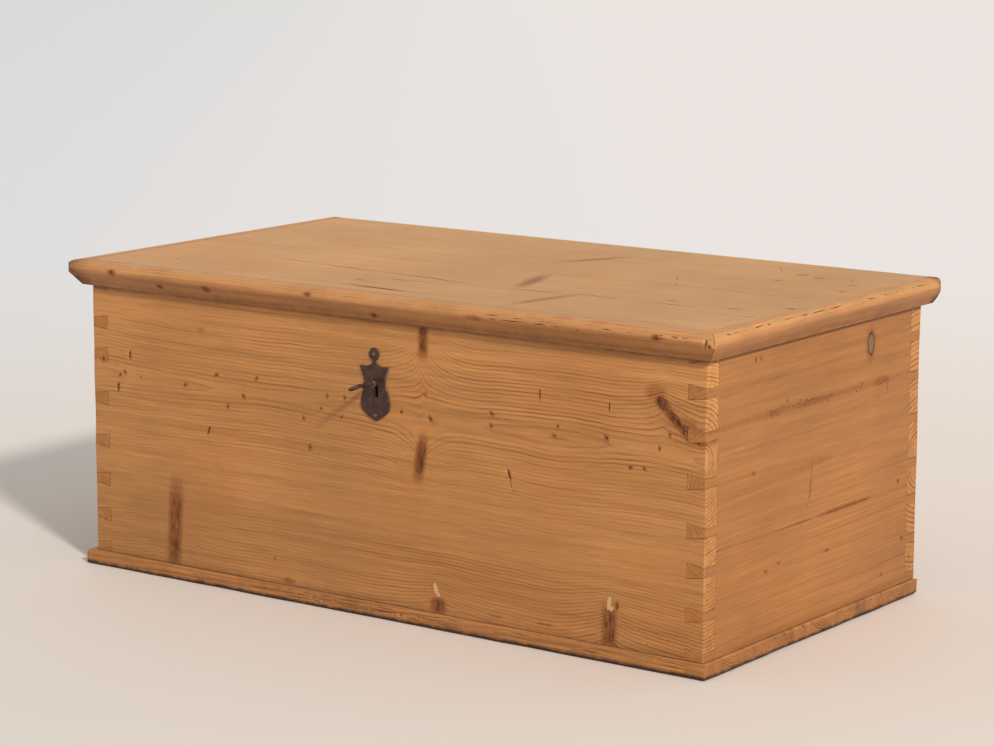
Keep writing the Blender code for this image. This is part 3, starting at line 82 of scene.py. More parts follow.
# Colours that are laid over the wood, or multiply it
WARM_TINT = (1.0, 0.86, 0.70)
SMUDGE_TINT = (0.66, 0.50, 0.36)
FADED_HEART_TINT = (1.30, 1.50, 1.10)
BARE_WOOD = (0.56, 0.34, 0.155)
CRACK_DARK, CRACK_LIGHT = (0.105, 0.041, 0.015), (0.290, 0.125, 0.047)
PIN_DARK, PIN_LIGHT = (0.108, 0.039, 0.014), (0.33, 0.135, 0.041)
OVAL_DARK, OVAL_LIGHT = (0.080, 0.034, 0.013), (0.200, 0.132, 0.056)

# Scale of the noise that makes the fibres, along the grain and across it
FIBRE_ALONG = 1.3
FIBRE_ACROSS = 46.0

# How finely the solids are sliced, and what counts as one point or one direction
FACE_STEP = 0.0058
SIDE_STEP = 0.0062
BACK_STEP = 0.008
LID_STEP = 0.0068
FINE_STEP = 0.0016
FINE_BELOW_LID = 0.0075
MOULDING_STEP = 0.0055
MOULDING_RISE_STEP = 0.0019
MOULDING_BEVEL = 0.0011
PLAIN_ALONG = 0.030
PLAIN_ACROSS = 0.009
EDGE_STRIP = 0.0045
FACE_STRIP = 0.0013
MERGE_DISTANCE = 0.00002
SNAP_DISTANCE = 0.00001
FLAT_ANGLE = 0.6
JOINT_ANGLE = 50
WOOD_SMOOTH_ANGLE = 38
MOULDING_SMOOTH_ANGLE = 40
IRON_SMOOTH_ANGLE = 42
ON_THE_BOX = 0.0001
OUTSIDE_THE_BOX = 0.0005
NO_LENGTH = 0.000001
FEWEST_VERTICES = 100
SHRUNK = 0.001
SAME_DIRECTION = 0.94
NEAR_DIRECTION = 0.8
FLAT_IRON = 0.97
ROUNDING_STEPS = (0.0005, 0.0012, 0.0022, 0.0036)

# Growth rings: how they sway and how their count strays, as size, scale along the board and seed
RING_SWAYS = ((0.0022, 5.0, 0), (0.0012, 16.0, 7))
RING_BEAT = (1.6, 2.3, 3)
HEART_RING = 40
PLAIN_CONTRAST = 0.55

# Scales of the noise that plane, scratch, dent and soil the wood
EDGE_SCALE = 14
PLANE_SCALE = 9.0
SCRATCH_SCALE = 42.0
ROT_SCALE = 16
BASE_DIRT_SCALE = 21
MOULDING_DIRT_SCALE = 17
DENT_SCALE = 26
MOULDING_RIPPLE_SCALE = 60
HAMMER_SCALES = (160, 420)

# Wear, dirt and painted shade
RIM_WEAR = 0.45
LID_WEAR = 0.35
BASE_WEAR = 0.8
RIPPLE = 0.00022
LID_RIPPLE = 0.0004
BASE_RIPPLE = 0.0005
MOULDING_RIPPLE = 0.0003
MOULDING_DENT = 0.0007
FULL_WEAR = 0.0004
ROTTED_RADIUS = 0.0050
ROTTED_HEIGHT = 0.008
FACE_DEPTH = 0.0015
# Reach of the painted shade under the lid's moulding, and of the darkening towards the walls' bottom
SHADE_BELOW_LID = 0.007
DARKER_ABOVE_BASE = 0.012
JOINT_GRIME = 0.27
# Painted shade inside the keyhole
KEYHOLE_SHADE = 2.5
KEYHOLE_X = -0.0025
KEYHOLE_Z = 0.3110
KEYHOLE_HALF_WIDTH = 0.0065
KEYHOLE_HALF_HEIGHT = 0.0150
# Painted contact shadow along the bottom's lower edges
BASE_SHADE_HEIGHT = 0.0060
BASE_UNDERSIDE_SHADE = 2.4
NOSE_HEIGHT = 0.025
NOSE_HALF_HEIGHT = 0.010
MOULDING_WEAR_HEIGHT = 0.027
MOULDING_WEAR_DEPTH = 0.006
UNDER_NOSE = 0.019
# Darkening towards the front moulding's left end, and painted shade on the right moulding's rear end
FRONT_END_DARKER = 0.045
RIGHT_END_SHADE = 0.022
LID_REAR = BACK_FACE + 0.016

# Cracks, worm holes and knots
GROOVE_LIFT = 0.0015
CRACK_DEPTH = 0.0024
FULL_DEPTH_HALF_WIDTH = 0.0008
HOLE_DEPTH = 0.0026
HOLE_GAP = 1.3
LID_BACK_HEART = 0.150
LONE_ROW_GAP = 0.004
SHORTEST_CRACK = 0.004
CRACK_LENGTHS = (0.2, 0.45, 0.8, 1.6)
CRACK_PAUSES = (0.08, 0.15, 0.5, 1.1)
SLIT_SHAPE = ((-0.5, 0.12), (-0.22, 0.8), (0.2, 1.0), (0.5, 0.12))
PIN_KNOT = {"Segments": 16, "Rings": 8, "Raggedness": 0.0009}
OVAL_KNOT = {"Segments": 32, "Rings": 14, "Raggedness": 0.0004}
PIN_ALONG = 2.0
PIN_ACROSS = 1.45
KNOT_MARGIN = 1.3
FINE_MARGIN = 0.002
FINE_GAP = 0.004
RAGGED_SCALE = 520.0
HOLE_TOP, HOLE_BOTTOM = 1.1, 0.55
KNOT_THICKNESS = 0.0007
KNOT_RISE = 0.00014
BELOW_TOP = 0.00003
KNOT_HALO = 1.8
KNOT_CORE = 0.65
CHIP_HALO = 1.6
FAINT_KNOT = 0.5
LONG_KNOT = 0.03


# Settings that a user would change

def colour_setting(name, description, default):
    return bpy.props.FloatVectorProperty(name=name, description=description, subtype="COLOR", size=3,
                                         min=0, max=1, default=default)


class PineSettings(bpy.types.PropertyGroup):
    front: colour_setting("Front", "Early wood of the front and back boards", (0.442, 0.196, 0.061))
    side: colour_setting("Sides", "Early wood of the side planks", (0.352, 0.143, 0.040))
    lid: colour_setting("Lid", "Early wood of the lid boards, paler from wear", (0.536, 0.268, 0.093))
    moulding: colour_setting("Moulding", "Early wood of the lid's mouldings", (0.505, 0.225, 0.078))
    base: colour_setting("Base", "Early wood of the bottom planks", (0.440, 0.185, 0.056))
    late: colour_setting("Late wood", "The dark line of each growth ring, as a share of the early wood",
                         (0.50, 0.34, 0.20))
    knot: colour_setting("Knot", "Dark heart of the knots", (0.088, 0.026, 0.008))
    knot_light: colour_setting("Knot light", "Paler wood within the knots", (0.235, 0.080, 0.024))
    # The grime colour also paints shade: under the lid's moulding, inside the keyhole, along the bottom's
    # lower edges and at the right moulding's rear end.
    grime: colour_setting("Grime", "Old dirt in joints and corners", (0.060, 0.026, 0.012))
    edge_radius: bpy.props.FloatProperty(
        name="Edge wear", description="How far the outer edges are worn round", unit="LENGTH",
        min=0.0, max=0.01, default=0.0024)


class IronSettings(bpy.types.PropertyGroup):
    iron: colour_setting("Iron", "Dark skin of the forged iron", (0.050, 0.028, 0.022))
    rust: colour_setting("Rust", "Brown rust on the iron", (0.125, 0.050, 0.026))
    # The worn iron colour also paints a highlight along the iron's edges.
    worn: colour_setting("Worn iron", "Metal rubbed bare at edges", (0.260, 0.205, 0.175))


class StageSettings(bpy.types.PropertyGroup):
    near_floor: colour_setting("Near floor", "Floor colour around the chest", (0.772, 0.672, 0.584))
    far_floor: colour_setting("Far floor", "Floor colour far away", (0.805, 0.752, 0.720))
    ambient: bpy.props.FloatProperty(
        name="Ambient light", description="Strength of the even light from all round",
        min=0, max=3, default=0.60)
    lamp_strength: bpy.props.FloatProperty(
        name="Lamp strength", description="Strength of the far lamp on the right", min=0, default=2.55)
    lamp_angle: bpy.props.FloatProperty(
        name="Lamp angle", description="How wide the far lamp looks, which softens its shadows",
        subtype="ANGLE", min=0.001, default=radians(5.5))
    lens: bpy.props.FloatProperty(
        name="Lens", description="Focal length on a 36 mm sensor", unit="CAMERA", min=1, default=112.77)


# Shader nodes

def feed(tree, node, inputs):
    """Set a node's inputs, by name or number. Each is a value or another node's output socket."""
    for key, value in inputs.items():
        socket = node.inputs[key]
        if isinstance(value, bpy.types.NodeSocket):
            tree.links.new(value, socket)
        elif socket.type == "RGBA" and len(value) == 3:
            socket.default_value = (*value, 1.0)
        else:
            socket.default_value = value
    return node.outputs


def add_node(tree, kind, inputs=None, output=0, **settings):
    """Add a node and return one of its output sockets."""
    made = tree.nodes.new(kind)
    for name, value in settings.items():
        setattr(made, name, value)
    return feed(tree, made, inputs or {})[output]


def maths(tree, operation, first, second=0.0, third=0.0, clamp=False):
    return add_node(tree, "ShaderNodeMath", {0: first, 1: second, 2: third}, operation=operation,
                    use_clamp=clamp)


def times(tree, first, second, clamp=False):
    return maths(tree, "MULTIPLY", first, second, clamp=clamp)


def scaled(tree, value, factor, more):
    """The value times a factor, and more added."""
    return maths(tree, "MULTIPLY_ADD", value, factor, more)


def blend(tree, share, first, second, mode="MIX"):
    """Mix two colours by a share from 0 to 1."""
    return add_node(tree, "ShaderNodeMix", {0: share, 6: first, 7: second}, 2, data_type="RGBA",
                    blend_type=mode, clamp_factor=True)


def tinted(tree, colour, tint):
    """One colour multiplied by another."""
    return blend(tree, 1.0, colour, tint, "MULTIPLY")


def shaded(tree, colour, factor):
    """A colour made lighter or darker by a factor."""
    return tinted(tree, colour, add_node(tree, "ShaderNodeCombineColor", {0: factor, 1: factor, 2: factor}))


def ramp(tree, value, low, high, bottom=0.0, top=1.0):
    """A smooth step from bottom to top while value goes from low to high."""
    return add_node(tree, "ShaderNodeMapRange",
                    {"Value": value, "From Min": low, "From Max": high, "To Min": bottom, "To Max": top},
                    interpolation_type="SMOOTHSTEP")


def cloud(tree, vector, scale, detail=3.0, roughness=0.55, distortion=0.0):
    return add_node(tree, "ShaderNodeTexNoise", {
        "Vector": vector, "Scale": scale, "Detail": detail, "Roughness": roughness,
        "Distortion": distortion})


def bump(tree, strength, distance, height):
    return add_node(tree, "ShaderNodeBump", {"Strength": strength, "Distance": distance, "Height": height})


def stored(tree, name):
    return add_node(tree, "ShaderNodeAttribute", output="Fac", attribute_name=name)


def new_group(name, inputs, outputs, kind="ShaderNodeTree"):
    """A node group with named sockets. Returns it, what it is given and the node that takes its result."""
    tree = bpy.data.node_groups.new(name, kind)
    for label, socket_kind, default in inputs:
        socket = tree.interface.new_socket(label, in_out="INPUT", socket_type=socket_kind)
        if default is not None:
            socket.default_value = default
    for label, socket_kind in outputs:
        tree.interface.new_socket(label, in_out="OUTPUT", socket_type=socket_kind)
    return tree, tree.nodes.new("NodeGroupInput").outputs, tree.nodes.new("NodeGroupOutput")


def pine_grain_group():
    """Growth rings, long fibres and blotches. Ring counts the rings and Fibre runs along the grain."""
    tree, given, result = new_group(
        "pine_grain",
        [("Place", VECTOR, None), ("Fibre", VECTOR, None), ("Ring", FLOAT, 0.0), ("Strength", FLOAT, 0.6),
         ("Streaks", FLOAT, 1.0), ("Early", COLOUR, (0.5, 0.25, 0.1, 1)),
         ("Late", COLOUR, (0.5, 0.4, 0.3, 1))],
        [("Color", COLOUR), ("Height", FLOAT), ("Roughness", FLOAT)])
    place, fibre, early = given["Place"], given["Fibre"], given["Early"]
    ring = maths(tree, "ADD", given["Ring"], scaled(tree, cloud(tree, fibre, 1.6, 2.0), 0.5, -0.25))
    turn = maths(tree, "FRACT", ring)
    line = times(tree, maths(tree, "POWER", turn, 3.2), ramp(tree, turn, 0.92, 1.0, 1.0, 0.0))
    each = add_node(tree, "ShaderNodeTexWhiteNoise", {"W": maths(tree, "FLOOR", ring)}, noise_dimensions="1D")
    line = times(tree, line, scaled(tree, each, 1.7, 0.60))
    fine = cloud(tree, fibre, 5.0, 5.0, 0.62)
    broken = ramp(tree, fine, 0.30, 0.62, 0.45, 1.0)
    patch = ramp(tree, cloud(tree, place, 7.0, 2.0), 0.32, 0.68, 0.55, 1.15)
    line = times(tree, times(tree, line, broken), times(tree, patch, given["Strength"]), clamp=True)
    colour = blend(tree, line, early, tinted(tree, early, given["Late"]))
    streak = scaled(tree, cloud(tree, fibre, 2.2, 6.0, 0.72), 1.05, 0.475)
    speck = scaled(tree, cloud(tree, fibre, 14.0, 3.0, 0.75), 0.70, 0.65)
    tone = scaled(tree, cloud(tree, place, 3.4, 3.0, 0.6), 0.62, 0.69)
    streaks = maths(tree, "SUBTRACT", times(tree, streak, speck), 1.0)
    streaks = scaled(tree, streaks, given["Streaks"], 1.0)
    colour = shaded(tree, colour, times(tree, streaks, tone))
    warm = ramp(tree, cloud(tree, place, 5.3, 2.0, 0.5, 0.6), 0.45, 0.72)
    shine = scaled(tree, cloud(tree, place, 9.0, 3.0), 0.20, 0.42)
    feed(tree, result, {
        "Color": blend(tree, times(tree, warm, 0.30), colour, tinted(tree, colour, WARM_TINT)),
        "Height": maths(tree, "ADD", times(tree, fine, 0.55), times(tree, line, 0.35)),
        "Roughness": scaled(tree, fine, 0.10, shine)})
    return tree


def cover_group(name, label, cover, scale, roughness, low, high, bottom):
    """One colour laid over another where the Mask is high, broken up by noise."""
    tree, given, result = new_group(
        name, [("Color", COLOUR, (0.5, 0.25, 0.1, 1)), (label, COLOUR, cover), ("Mask", FLOAT, 0.0),
               ("Place", VECTOR, None)],
        [("Color", COLOUR), ("Amount", FLOAT)])
    broken = ramp(tree, cloud(tree, given["Place"], scale, 4.0, roughness), low, high, bottom)
    amount = times(tree, given["Mask"], broken, clamp=True)
    feed(tree, result, {"Color": blend(tree, amount, given["Color"], given[label]), "Amount": amount})
    return tree


def dirt_and_shade_group():
    """Dirt, and painted shade, laid where the Mask is high."""
    return cover_group("old_grime", "Grime", (0.05, 0.02, 0.01, 1), 60.0, 0.65, 0.30, 0.66, 0.45)


def wear_and_sheen_group():
    """Edges rubbed paler where the Mask is high; on iron they are also a painted highlight."""
    return cover_group("edge_wear", "Worn", (0.7, 0.5, 0.3, 1), 34.0, 0.6, 0.42, 0.62, 0.0)


def iron_group():
    """Forged iron: a dark skin with rust in patches and fine pits."""
    tree, given, result = new_group(
        "iron_skin",
        [("Place", VECTOR, None), ("Iron", COLOUR, (0.05, 0.03, 0.02, 1)),
         ("Rust", COLOUR, (0.12, 0.05, 0.02, 1)), ("Rusting", FLOAT, 0.5)],
        [("Color", COLOUR), ("Roughness", FLOAT), ("Height", FLOAT)])
    patches = cloud(tree, given["Place"], 95.0, 5.0, 0.62)
    pits = cloud(tree, given["Place"], 620.0, 3.0, 0.6)
    rust = times(tree, ramp(tree, patches, 0.42, 0.64), given["Rusting"], clamp=True)
    colour = blend(tree, rust, given["Iron"], given["Rust"])
    feed(tree, result, {
        "Color": shaded(tree, colour, scaled(tree, pits, 0.7, 0.65)),
        "Roughness": scaled(tree, rust, 0.22, scaled(tree, pits, 0.2, 0.36)),
        "Height": maths(tree, "ADD", patches, times(tree, pits, 0.35))})
    return tree


def shared(name, build):
    """A node group by name, which is built the first time that it is asked for."""
    return bpy.data.node_groups.get(name) or build()


def use_group(tree, name, build, inputs):
    """Put a node group into a tree and return its outputs."""
    made = tree.nodes.new("ShaderNodeGroup")
    made.node_tree = shared(name, build)
    return feed(tree, made, inputs)


def new_material(name):
    material = bpy.data.materials.new(name)
    material.use_nodes = True
    tree = material.node_tree
    tree.nodes.clear()
    shader = tree.nodes.new("ShaderNodeBsdfPrincipled")
    output = tree.nodes.new("ShaderNodeOutputMaterial")
    tree.links.new(shader.outputs[0], output.inputs["Surface"])
    place = tree.nodes.new("ShaderNodeTexCoord").outputs["Object"]
    return material, tree, shader, place


def pine_material(name, early, along, end_tone, strength=1.0, streaks=1.0, rubbed_and_highlit=None, end_rings=1.1):
    """Waxed pine whose grain runs along X or Y, with knots, dirt and painted shade, and worn edges from the
    mesh.
    """
    pine = bpy.context.scene.chest_pine
    early = getattr(pine, early)
    worn_colour = getattr(pine, rubbed_and_highlit) if rubbed_and_highlit else tuple(min(1.0, part * 1.22 + 0.02) for part in early)
    material, tree, shader, place = new_material(name)
    scale = [FIBRE_ALONG if axis == along else FIBRE_ACROSS for axis in range(3)]
    fibre = add_node(tree, "ShaderNodeMapping", {"Vector": place, "Scale": scale})
    normal = add_node(tree, "ShaderNodeNewGeometry", output="True Normal")
    facing = add_node(tree, "ShaderNodeSeparateXYZ", {0: normal}, along)
    end = ramp(tree, maths(tree, "ABSOLUTE", facing), 0.75, 0.95)
    force = times(tree, stored(tree, "strength"), strength)
    grain = use_group(tree, "pine_grain", pine_grain_group, {
        "Place": place, "Fibre": fibre, "Ring": stored(tree, "ring"), "Streaks": streaks,
        "Strength": maths(tree, "MAXIMUM", force, times(tree, end, end_rings)),
        "Early": early, "Late": pine.late})
    pores = ramp(tree, cloud(tree, place, 900.0, 2.0), 0.3, 0.7, end_tone - 0.14, end_tone + 0.14)
    toned = shaded(tree, grain["Color"], stored(tree, "tone"))
    colour = blend(tree, end, toned, shaded(tree, toned, pores))
    knot = stored(tree, "knot")
    knot_place = add_node(tree, "ShaderNodeMapping", {"Vector": place, "Scale": (1.0, 1.0, 0.22)})
    knot_noise = cloud(tree, knot_place, 230.0, 4.0, 0.7)
    smudge = ramp(tree, times(tree, knot, scaled(tree, knot_noise, 1.5, 0.25)), 0.05, 0.75, 0.0, 0.92)
    colour = blend(tree, smudge, colour, tinted(tree, colour, SMUDGE_TINT))
    heart = ramp(tree, scaled(tree, knot_noise, 0.42, knot), 0.86, 1.10)
    heart_colour = blend(tree, ramp(tree, knot_noise, 0.36, 0.62), pine.knot, pine.knot_light)
    heart_colour = blend(tree, ramp(tree, cloud(tree, place, 30.0, 2.0), 0.45, 0.66), heart_colour,
                         tinted(tree, heart_colour, FADED_HEART_TINT))
    colour = blend(tree, heart, colour, heart_colour)
    bare = ramp(tree, scaled(tree, knot_noise, 0.9, stored(tree, "pale")), 1.02, 1.16)
    worn = use_group(tree, "edge_wear", wear_and_sheen_group, {
        "Color": blend(tree, bare, colour, BARE_WOOD), "Worn": worn_colour,
        "Mask": stored(tree, "wear"), "Place": place})
    # Dirt and painted shade are laid over the wood where the grime mask is high.
    dirty_and_shaded = use_group(tree, "old_grime", dirt_and_shade_group, {
        "Color": worn["Color"], "Grime": pine.grime, "Mask": stored(tree, "grime"), "Place": place})
    rough = scaled(tree, heart, 0.35, scaled(tree, dirty_and_shaded["Amount"], 0.25, grain["Roughness"]))
    height = maths(tree, "SUBTRACT", grain["Height"], times(tree, heart, 0.5))
    feed(tree, shader, {
        "Base Color": dirty_and_shaded["Color"], "Roughness": maths(tree, "MAXIMUM", rough, times(tree, end, 0.68)),
        "Specular IOR Level": 0.28, "Normal": bump(tree, 0.45, 0.0006, height)})
    return material


def knot_material(name, dark, light, heart=0.34, rim=0.70, rim_share=0.35):
    """A small knot: a dark heart and a dark rim, with brown wood between them."""
    material, tree, shader, place = new_material(name)
    ray = cloud(tree, place, 420.0, 4.0, 0.7)
    radial = scaled(tree, ray, 0.22, stored(tree, "radial"))
    core = ramp(tree, radial, heart, heart + 0.18, 1.0, 0.0)
    edge = ramp(tree, radial, rim, rim + 0.1, 0.0, rim_share)
    feed(tree, shader, {
        "Base Color": blend(tree, maths(tree, "MAXIMUM", core, edge), light, dark),
        "Roughness": ramp(tree, ray, 0.2, 0.8, 0.45, 0.75), "Specular IOR Level": 0.12,
        "Normal": bump(tree, 0.5, 0.0004, ray)})
    return material


def crack_material(name):
    """Dark old wood inside cracks and worm holes."""
    material, tree, shader, place = new_material(name)
    dust = cloud(tree, place, 300.0, 3.0, 0.6)
    feed(tree, shader, {
        "Base Color": blend(tree, ramp(tree, dust, 0.3, 0.75), CRACK_DARK, CRACK_LIGHT),
        "Roughness": ramp(tree, dust, 0.2, 0.8, 0.7, 0.95), "Specular IOR Level": 0.08})
    return material


def iron_material(name, rusting, worn_and_sheen_share=0.0, metallic=0.55, lift=1.0):
    """Forged iron with rust, and edges rubbed paler where the mesh says so; the paler edges are also a
    painted highlight.
    """
    iron = bpy.context.scene.chest_iron
    material, tree, shader, place = new_material(name)
    skin = use_group(tree, "iron_skin", iron_group, {
        "Place": place, "Iron": tuple(part * lift for part in iron.iron), "Rust": iron.rust,
        "Rusting": rusting})
    colour = skin["Color"]
    if worn_and_sheen_share:
        mask = times(tree, stored(tree, "wear"), worn_and_sheen_share, clamp=True)
        colour = use_group(tree, "edge_wear", wear_and_sheen_group, {
            "Color": colour, "Worn": iron.worn, "Mask": mask, "Place": place})["Color"]
    feed(tree, shader, {"Base Color": colour, "Roughness": skin["Roughness"], "Metallic": metallic,
                        "Normal": bump(tree, 0.5, 0.0004, skin["Height"])})
    return material


# Meshes

def link(name, mesh):
    obj = bpy.data.objects.new(name, mesh)
    bpy.context.scene.collection.objects.link(obj)
    return obj


def mesh_from(bm, name, material=None):
    """Turn a bmesh into a mesh and free it."""
    mesh = bpy.data.meshes.new(name)
    bm.to_mesh(mesh)
    bm.free()
    if material:
        mesh.materials.append(material)
    return mesh


def evaluated_mesh(obj):
    """A mesh of the object as its modifiers leave it."""
    graph = bpy.context.evaluated_depsgraph_get()
    return bpy.data.meshes.new_from_object(obj.evaluated_get(graph))


def smooth(mesh, angle):
    """Smooth shading, but for edges sharper than an angle in degrees."""
    mesh.shade_smooth()
    mesh.set_sharp_from_angle(angle=radians(angle))


def merged_copy(node):
    """The node's solid with its loose triangles joined and its flat faces made whole."""
    bm = bmesh.new()
    bm.from_mesh(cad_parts[node].data)
    bmesh.ops.remove_doubles(bm, verts=bm.verts, dist=MERGE_DISTANCE)
    bmesh.ops.dissolve_limit(bm, angle_limit=radians(FLAT_ANGLE), verts=bm.verts[:], edges=bm.edges[:])
    bmesh.ops.recalc_face_normals(bm, faces=bm.faces[:])
    return bm


def faces_towards(bm, direction):
    return [face for face in bm.faces if face.normal.dot(direction) > SAME_DIRECTION]


def cut_across(bm, geometry, axis, places):
    """Cut edges and faces by planes across an axis: by the middle plane, and then each half by its own."""
    if not places:
        return
    middle = len(places) // 2
    level = places[middle]
    normal = Vector((axis == 0, axis == 1, axis == 2))
    made = bmesh.ops.bisect_plane(bm, geom=geometry, dist=SNAP_DISTANCE, plane_co=normal * level,
                                  plane_no=normal)
    below, above = [], []
    for item in made["geom"]:
        if isinstance(item, bmesh.types.BMFace):
            side = item.calc_center_median()[axis]
        elif isinstance(item, bmesh.types.BMEdge):
            side = (item.verts[0].co[axis] + item.verts[1].co[axis]) / 2
        else:
            continue
        (below if side < level else above).append(item)
    cut_across(bm, below, axis, places[:middle])
    cut_across(bm, above, axis, places[middle + 1:])


def slice_faces(bm, direction, axis, places):
    """Cut the faces that look one way by planes across an axis."""
    bm.edges.index_update()
    faces = faces_towards(bm, direction)
    edges = {edge.index: edge for face in faces for edge in face.edges}
    cut_across(bm, list(edges.values()) + faces, axis, sorted(places))


def lattice(bm, axis, places):
    """Cut the whole mesh by planes across an axis."""
    cut_across(bm, bm.edges[:] + bm.faces[:], axis, sorted(places))


def even(low, high, step):
    """Places from low to high, about a step apart, without the two ends."""
    count = max(2, round((high - low) / step))
    return [low + (high - low) * index / count for index in range(1, count)]


def with_fine(places, ranges):
    """The places with closely spaced ones within some ranges."""
    found = list(places)
    for low, high in ranges:
        found = [place for place in found if not low - FINE_STEP / 2 < place < high + FINE_STEP / 2]
        found += even(low, high, FINE_STEP) + [low, high]
    return sorted(found)


def soften(place, low, high, radius):
    """Where a point of a box goes when the box's edges are worn round."""
    moved = Vector(place)
    for first, second in ((0, 1), (0, 2), (1, 2)):
        reach = radius((first, second), place)
        sides = []
        for axis in (first, second):
            near_low, near_high = moved[axis] - low[axis], high[axis] - moved[axis]
            sides.append((near_low, 1) if near_low < near_high else (near_high, -1))
        (one, way_one), (two, way_two) = sides
        if not (-OUTSIDE_THE_BOX < one < reach and -OUTSIDE_THE_BOX < two < reach):
            continue
        across, up = reach - max(one, 0), reach - max(two, 0)
        length = hypot(across, up)
        if length < NO_LENGTH:
            continue
        share = max(across, up) / length
        moved[first] += way_one * across * (1 - share)
        moved[second] += way_two * up * (1 - share)
    return moved


def set_values(mesh, name, values):
    attribute = mesh.attributes.get(name) or mesh.attributes.new(name, "FLOAT", "POINT")
    attribute.data.foreach_set("value", values)


def run_nodes(tree, mesh, name, inputs):
    """Run a geometry node tree on a mesh and return the plain mesh that it makes."""
    holder = link(name, mesh)
    modifier = holder.modifiers.new(name, "NODES")
    modifier.node_group = tree
    for item in tree.interface.items_tree:
        if item.in_out == "INPUT" and item.name in inputs:
            modifier[item.identifier] = inputs[item.name]
    made = evaluated_mesh(holder)
    made.name = name
    bpy.data.objects.remove(holder)
    return made


def geometry_tree(name, inputs):
    return new_group(name, [("Geometry", GEOMETRY, None), *inputs], [("Geometry", GEOMETRY)],
                     "GeometryNodeTree")


def named_vector(tree, name):
    return add_node(tree, "GeometryNodeInputNamedAttribute", {0: name}, data_type="FLOAT_VECTOR")


def vectors(tree, operation, inputs, output=0):
    return add_node(tree, "ShaderNodeVectorMath", inputs, output, operation=operation)


def finish_instances(tree, given, result, shape, ragged=None):
    """Put a shape on every given point, sized and turned by the point, and make the whole real."""
    turn = add_node(tree, "FunctionNodeEulerToRotation", {0: named_vector(tree, "turn")})
    placed = add_node(tree, "GeometryNodeInstanceOnPoints", {
        "Points": given["Geometry"], "Instance": shape, "Rotation": turn,
        "Scale": named_vector(tree, "size")})
    real = add_node(tree, "GeometryNodeRealizeInstances", {0: placed})
    if ragged is not None:
        spread = add_node(tree, "ShaderNodeTexNoise", {"Scale": RAGGED_SCALE, "Detail": 1.0}, "Color",
                          noise_dimensions="3D")
        centred = vectors(tree, "SUBTRACT", {0: spread, 1: (0.5, 0.5, 0.5)})
        offset = vectors(tree, "SCALE", {0: centred, "Scale": ragged})
        real = add_node(tree, "GeometryNodeSetPosition", {"Geometry": real, "Offset": offset})
    painted = add_node(tree, "GeometryNodeSetMaterial", {"Geometry": real, "Material": given["Material"]})
    feed(tree, result, {0: painted})
    return tree


def knot_tree():
    """Small lens-shaped knots, one on each point."""
    tree, given, result = geometry_tree("pin_knots", [
        ("Segments", WHOLE, 14), ("Rings", WHOLE, 7), ("Raggedness", FLOAT, 0.0012),
        ("Material", MATERIAL, None)])
    ball = add_node(tree, "GeometryNodeMeshUVSphere",
                    {"Segments": given["Segments"], "Rings": given["Rings"], "Radius": 1.0})
    place = add_node(tree, "GeometryNodeInputPosition")
    radial = vectors(tree, "LENGTH", {0: vectors(tree, "MULTIPLY", {0: place, 1: (1.0, 1.0, 0.0)})}, "Value")
    marked = add_node(tree, "GeometryNodeStoreNamedAttribute",
                      {"Geometry": ball, "Name": "radial", "Value": radial}, data_type="FLOAT",
                      domain="POINT")
    return finish_instances(tree, given, result, marked, given["Raggedness"])


def hole_tree():
    """Blunt cones that bore worm holes, one on each point."""
    tree, given, result = geometry_tree("worm_holes", [
        ("Sides", WHOLE, 7), ("Depth", FLOAT, 1.0), ("Material", MATERIAL, None)])
    cone = add_node(tree, "GeometryNodeMeshCone", {
        "Vertices": given["Sides"], "Radius Top": HOLE_TOP, "Radius Bottom": HOLE_BOTTOM,
        "Depth": given["Depth"]})
    return finish_instances(tree, given, result, cone)


def marked_points(name, points):
    """A mesh of points, each with its size and turn."""
    mesh = bpy.data.meshes.new(name)
    mesh.from_pydata([point[0] for point in points], [], [])
    for label, index in (("size", 1), ("turn", 2)):
        attribute = mesh.attributes.new(label, "FLOAT_VECTOR", "POINT")
        attribute.data.foreach_set("vector", [part for point in points for part in point[index]])
    return mesh


class Face(NamedTuple):
    """A visible plane: the axes that run along it, its place and which way it looks."""
    first: int
    second: int
    normal: int
    level: float
    way: int

    def at(self, along, up, out=0.0):
        place = [0.0, 0.0, 0.0]
        place[self.first], place[self.second] = along, up
        place[self.normal] = self.level + self.way * out
        return Vector(place)

    def direction(self):
        return Vector([self.way if axis == self.normal else 0 for axis in range(3)])

    def turn(self, lean=0.0):
        """Euler angles that lay a flat shape on the face, leaning by an angle."""
        outward = self.direction()
        along = Vector([axis == self.first for axis in range(3)])
        aside = outward.cross(along)
        along, aside = along * cos(lean) + aside * sin(lean), aside * cos(lean) - along * sin(lean)
        return tuple(Matrix((along, aside, outward)).transposed().to_euler())


FRONT = Face(0, 2, 1, FRONT_FACE, -1)
RIGHT = Face(1, 2, 0, RIGHT_FACE, 1)
LEFT = Face(1, 2, 0, LEFT_FACE, -1)
BACK = Face(0, 2, 1, BACK_FACE, 1)
TOP = Face(0, 1, 2, LID_TOP, 1)


def add_groove(bm, face, path):
    """A V-shaped cutter along a path of (along, up, half width) points on a face."""
    sections = []
    for index, (along, up, half) in enumerate(path):
        before, after = path[max(index - 1, 0)], path[min(index + 1, len(path) - 1)]
        run, climb = after[0] - before[0], after[1] - before[1]
        length = hypot(run, climb)
        side = (-climb / length * half, run / length * half)
        deep = CRACK_DEPTH * min(1.0, half / FULL_DEPTH_HALF_WIDTH)
        sections.append([bm.verts.new(face.at(along + side[0], up + side[1], GROOVE_LIFT)),
                         bm.verts.new(face.at(along - side[0], up - side[1], GROOVE_LIFT)),
                         bm.verts.new(face.at(along, up, -deep))])
    made = [bm.faces.new(sections[0]), bm.faces.new(sections[-1])]
    for here, there in zip(sections, sections[1:]):
        for corner in range(3):
            following = (corner + 1) % 3
            made.append(bm.faces.new((here[corner], here[following], there[following], there[corner])))
    bmesh.ops.recalc_face_normals(bm, faces=made)


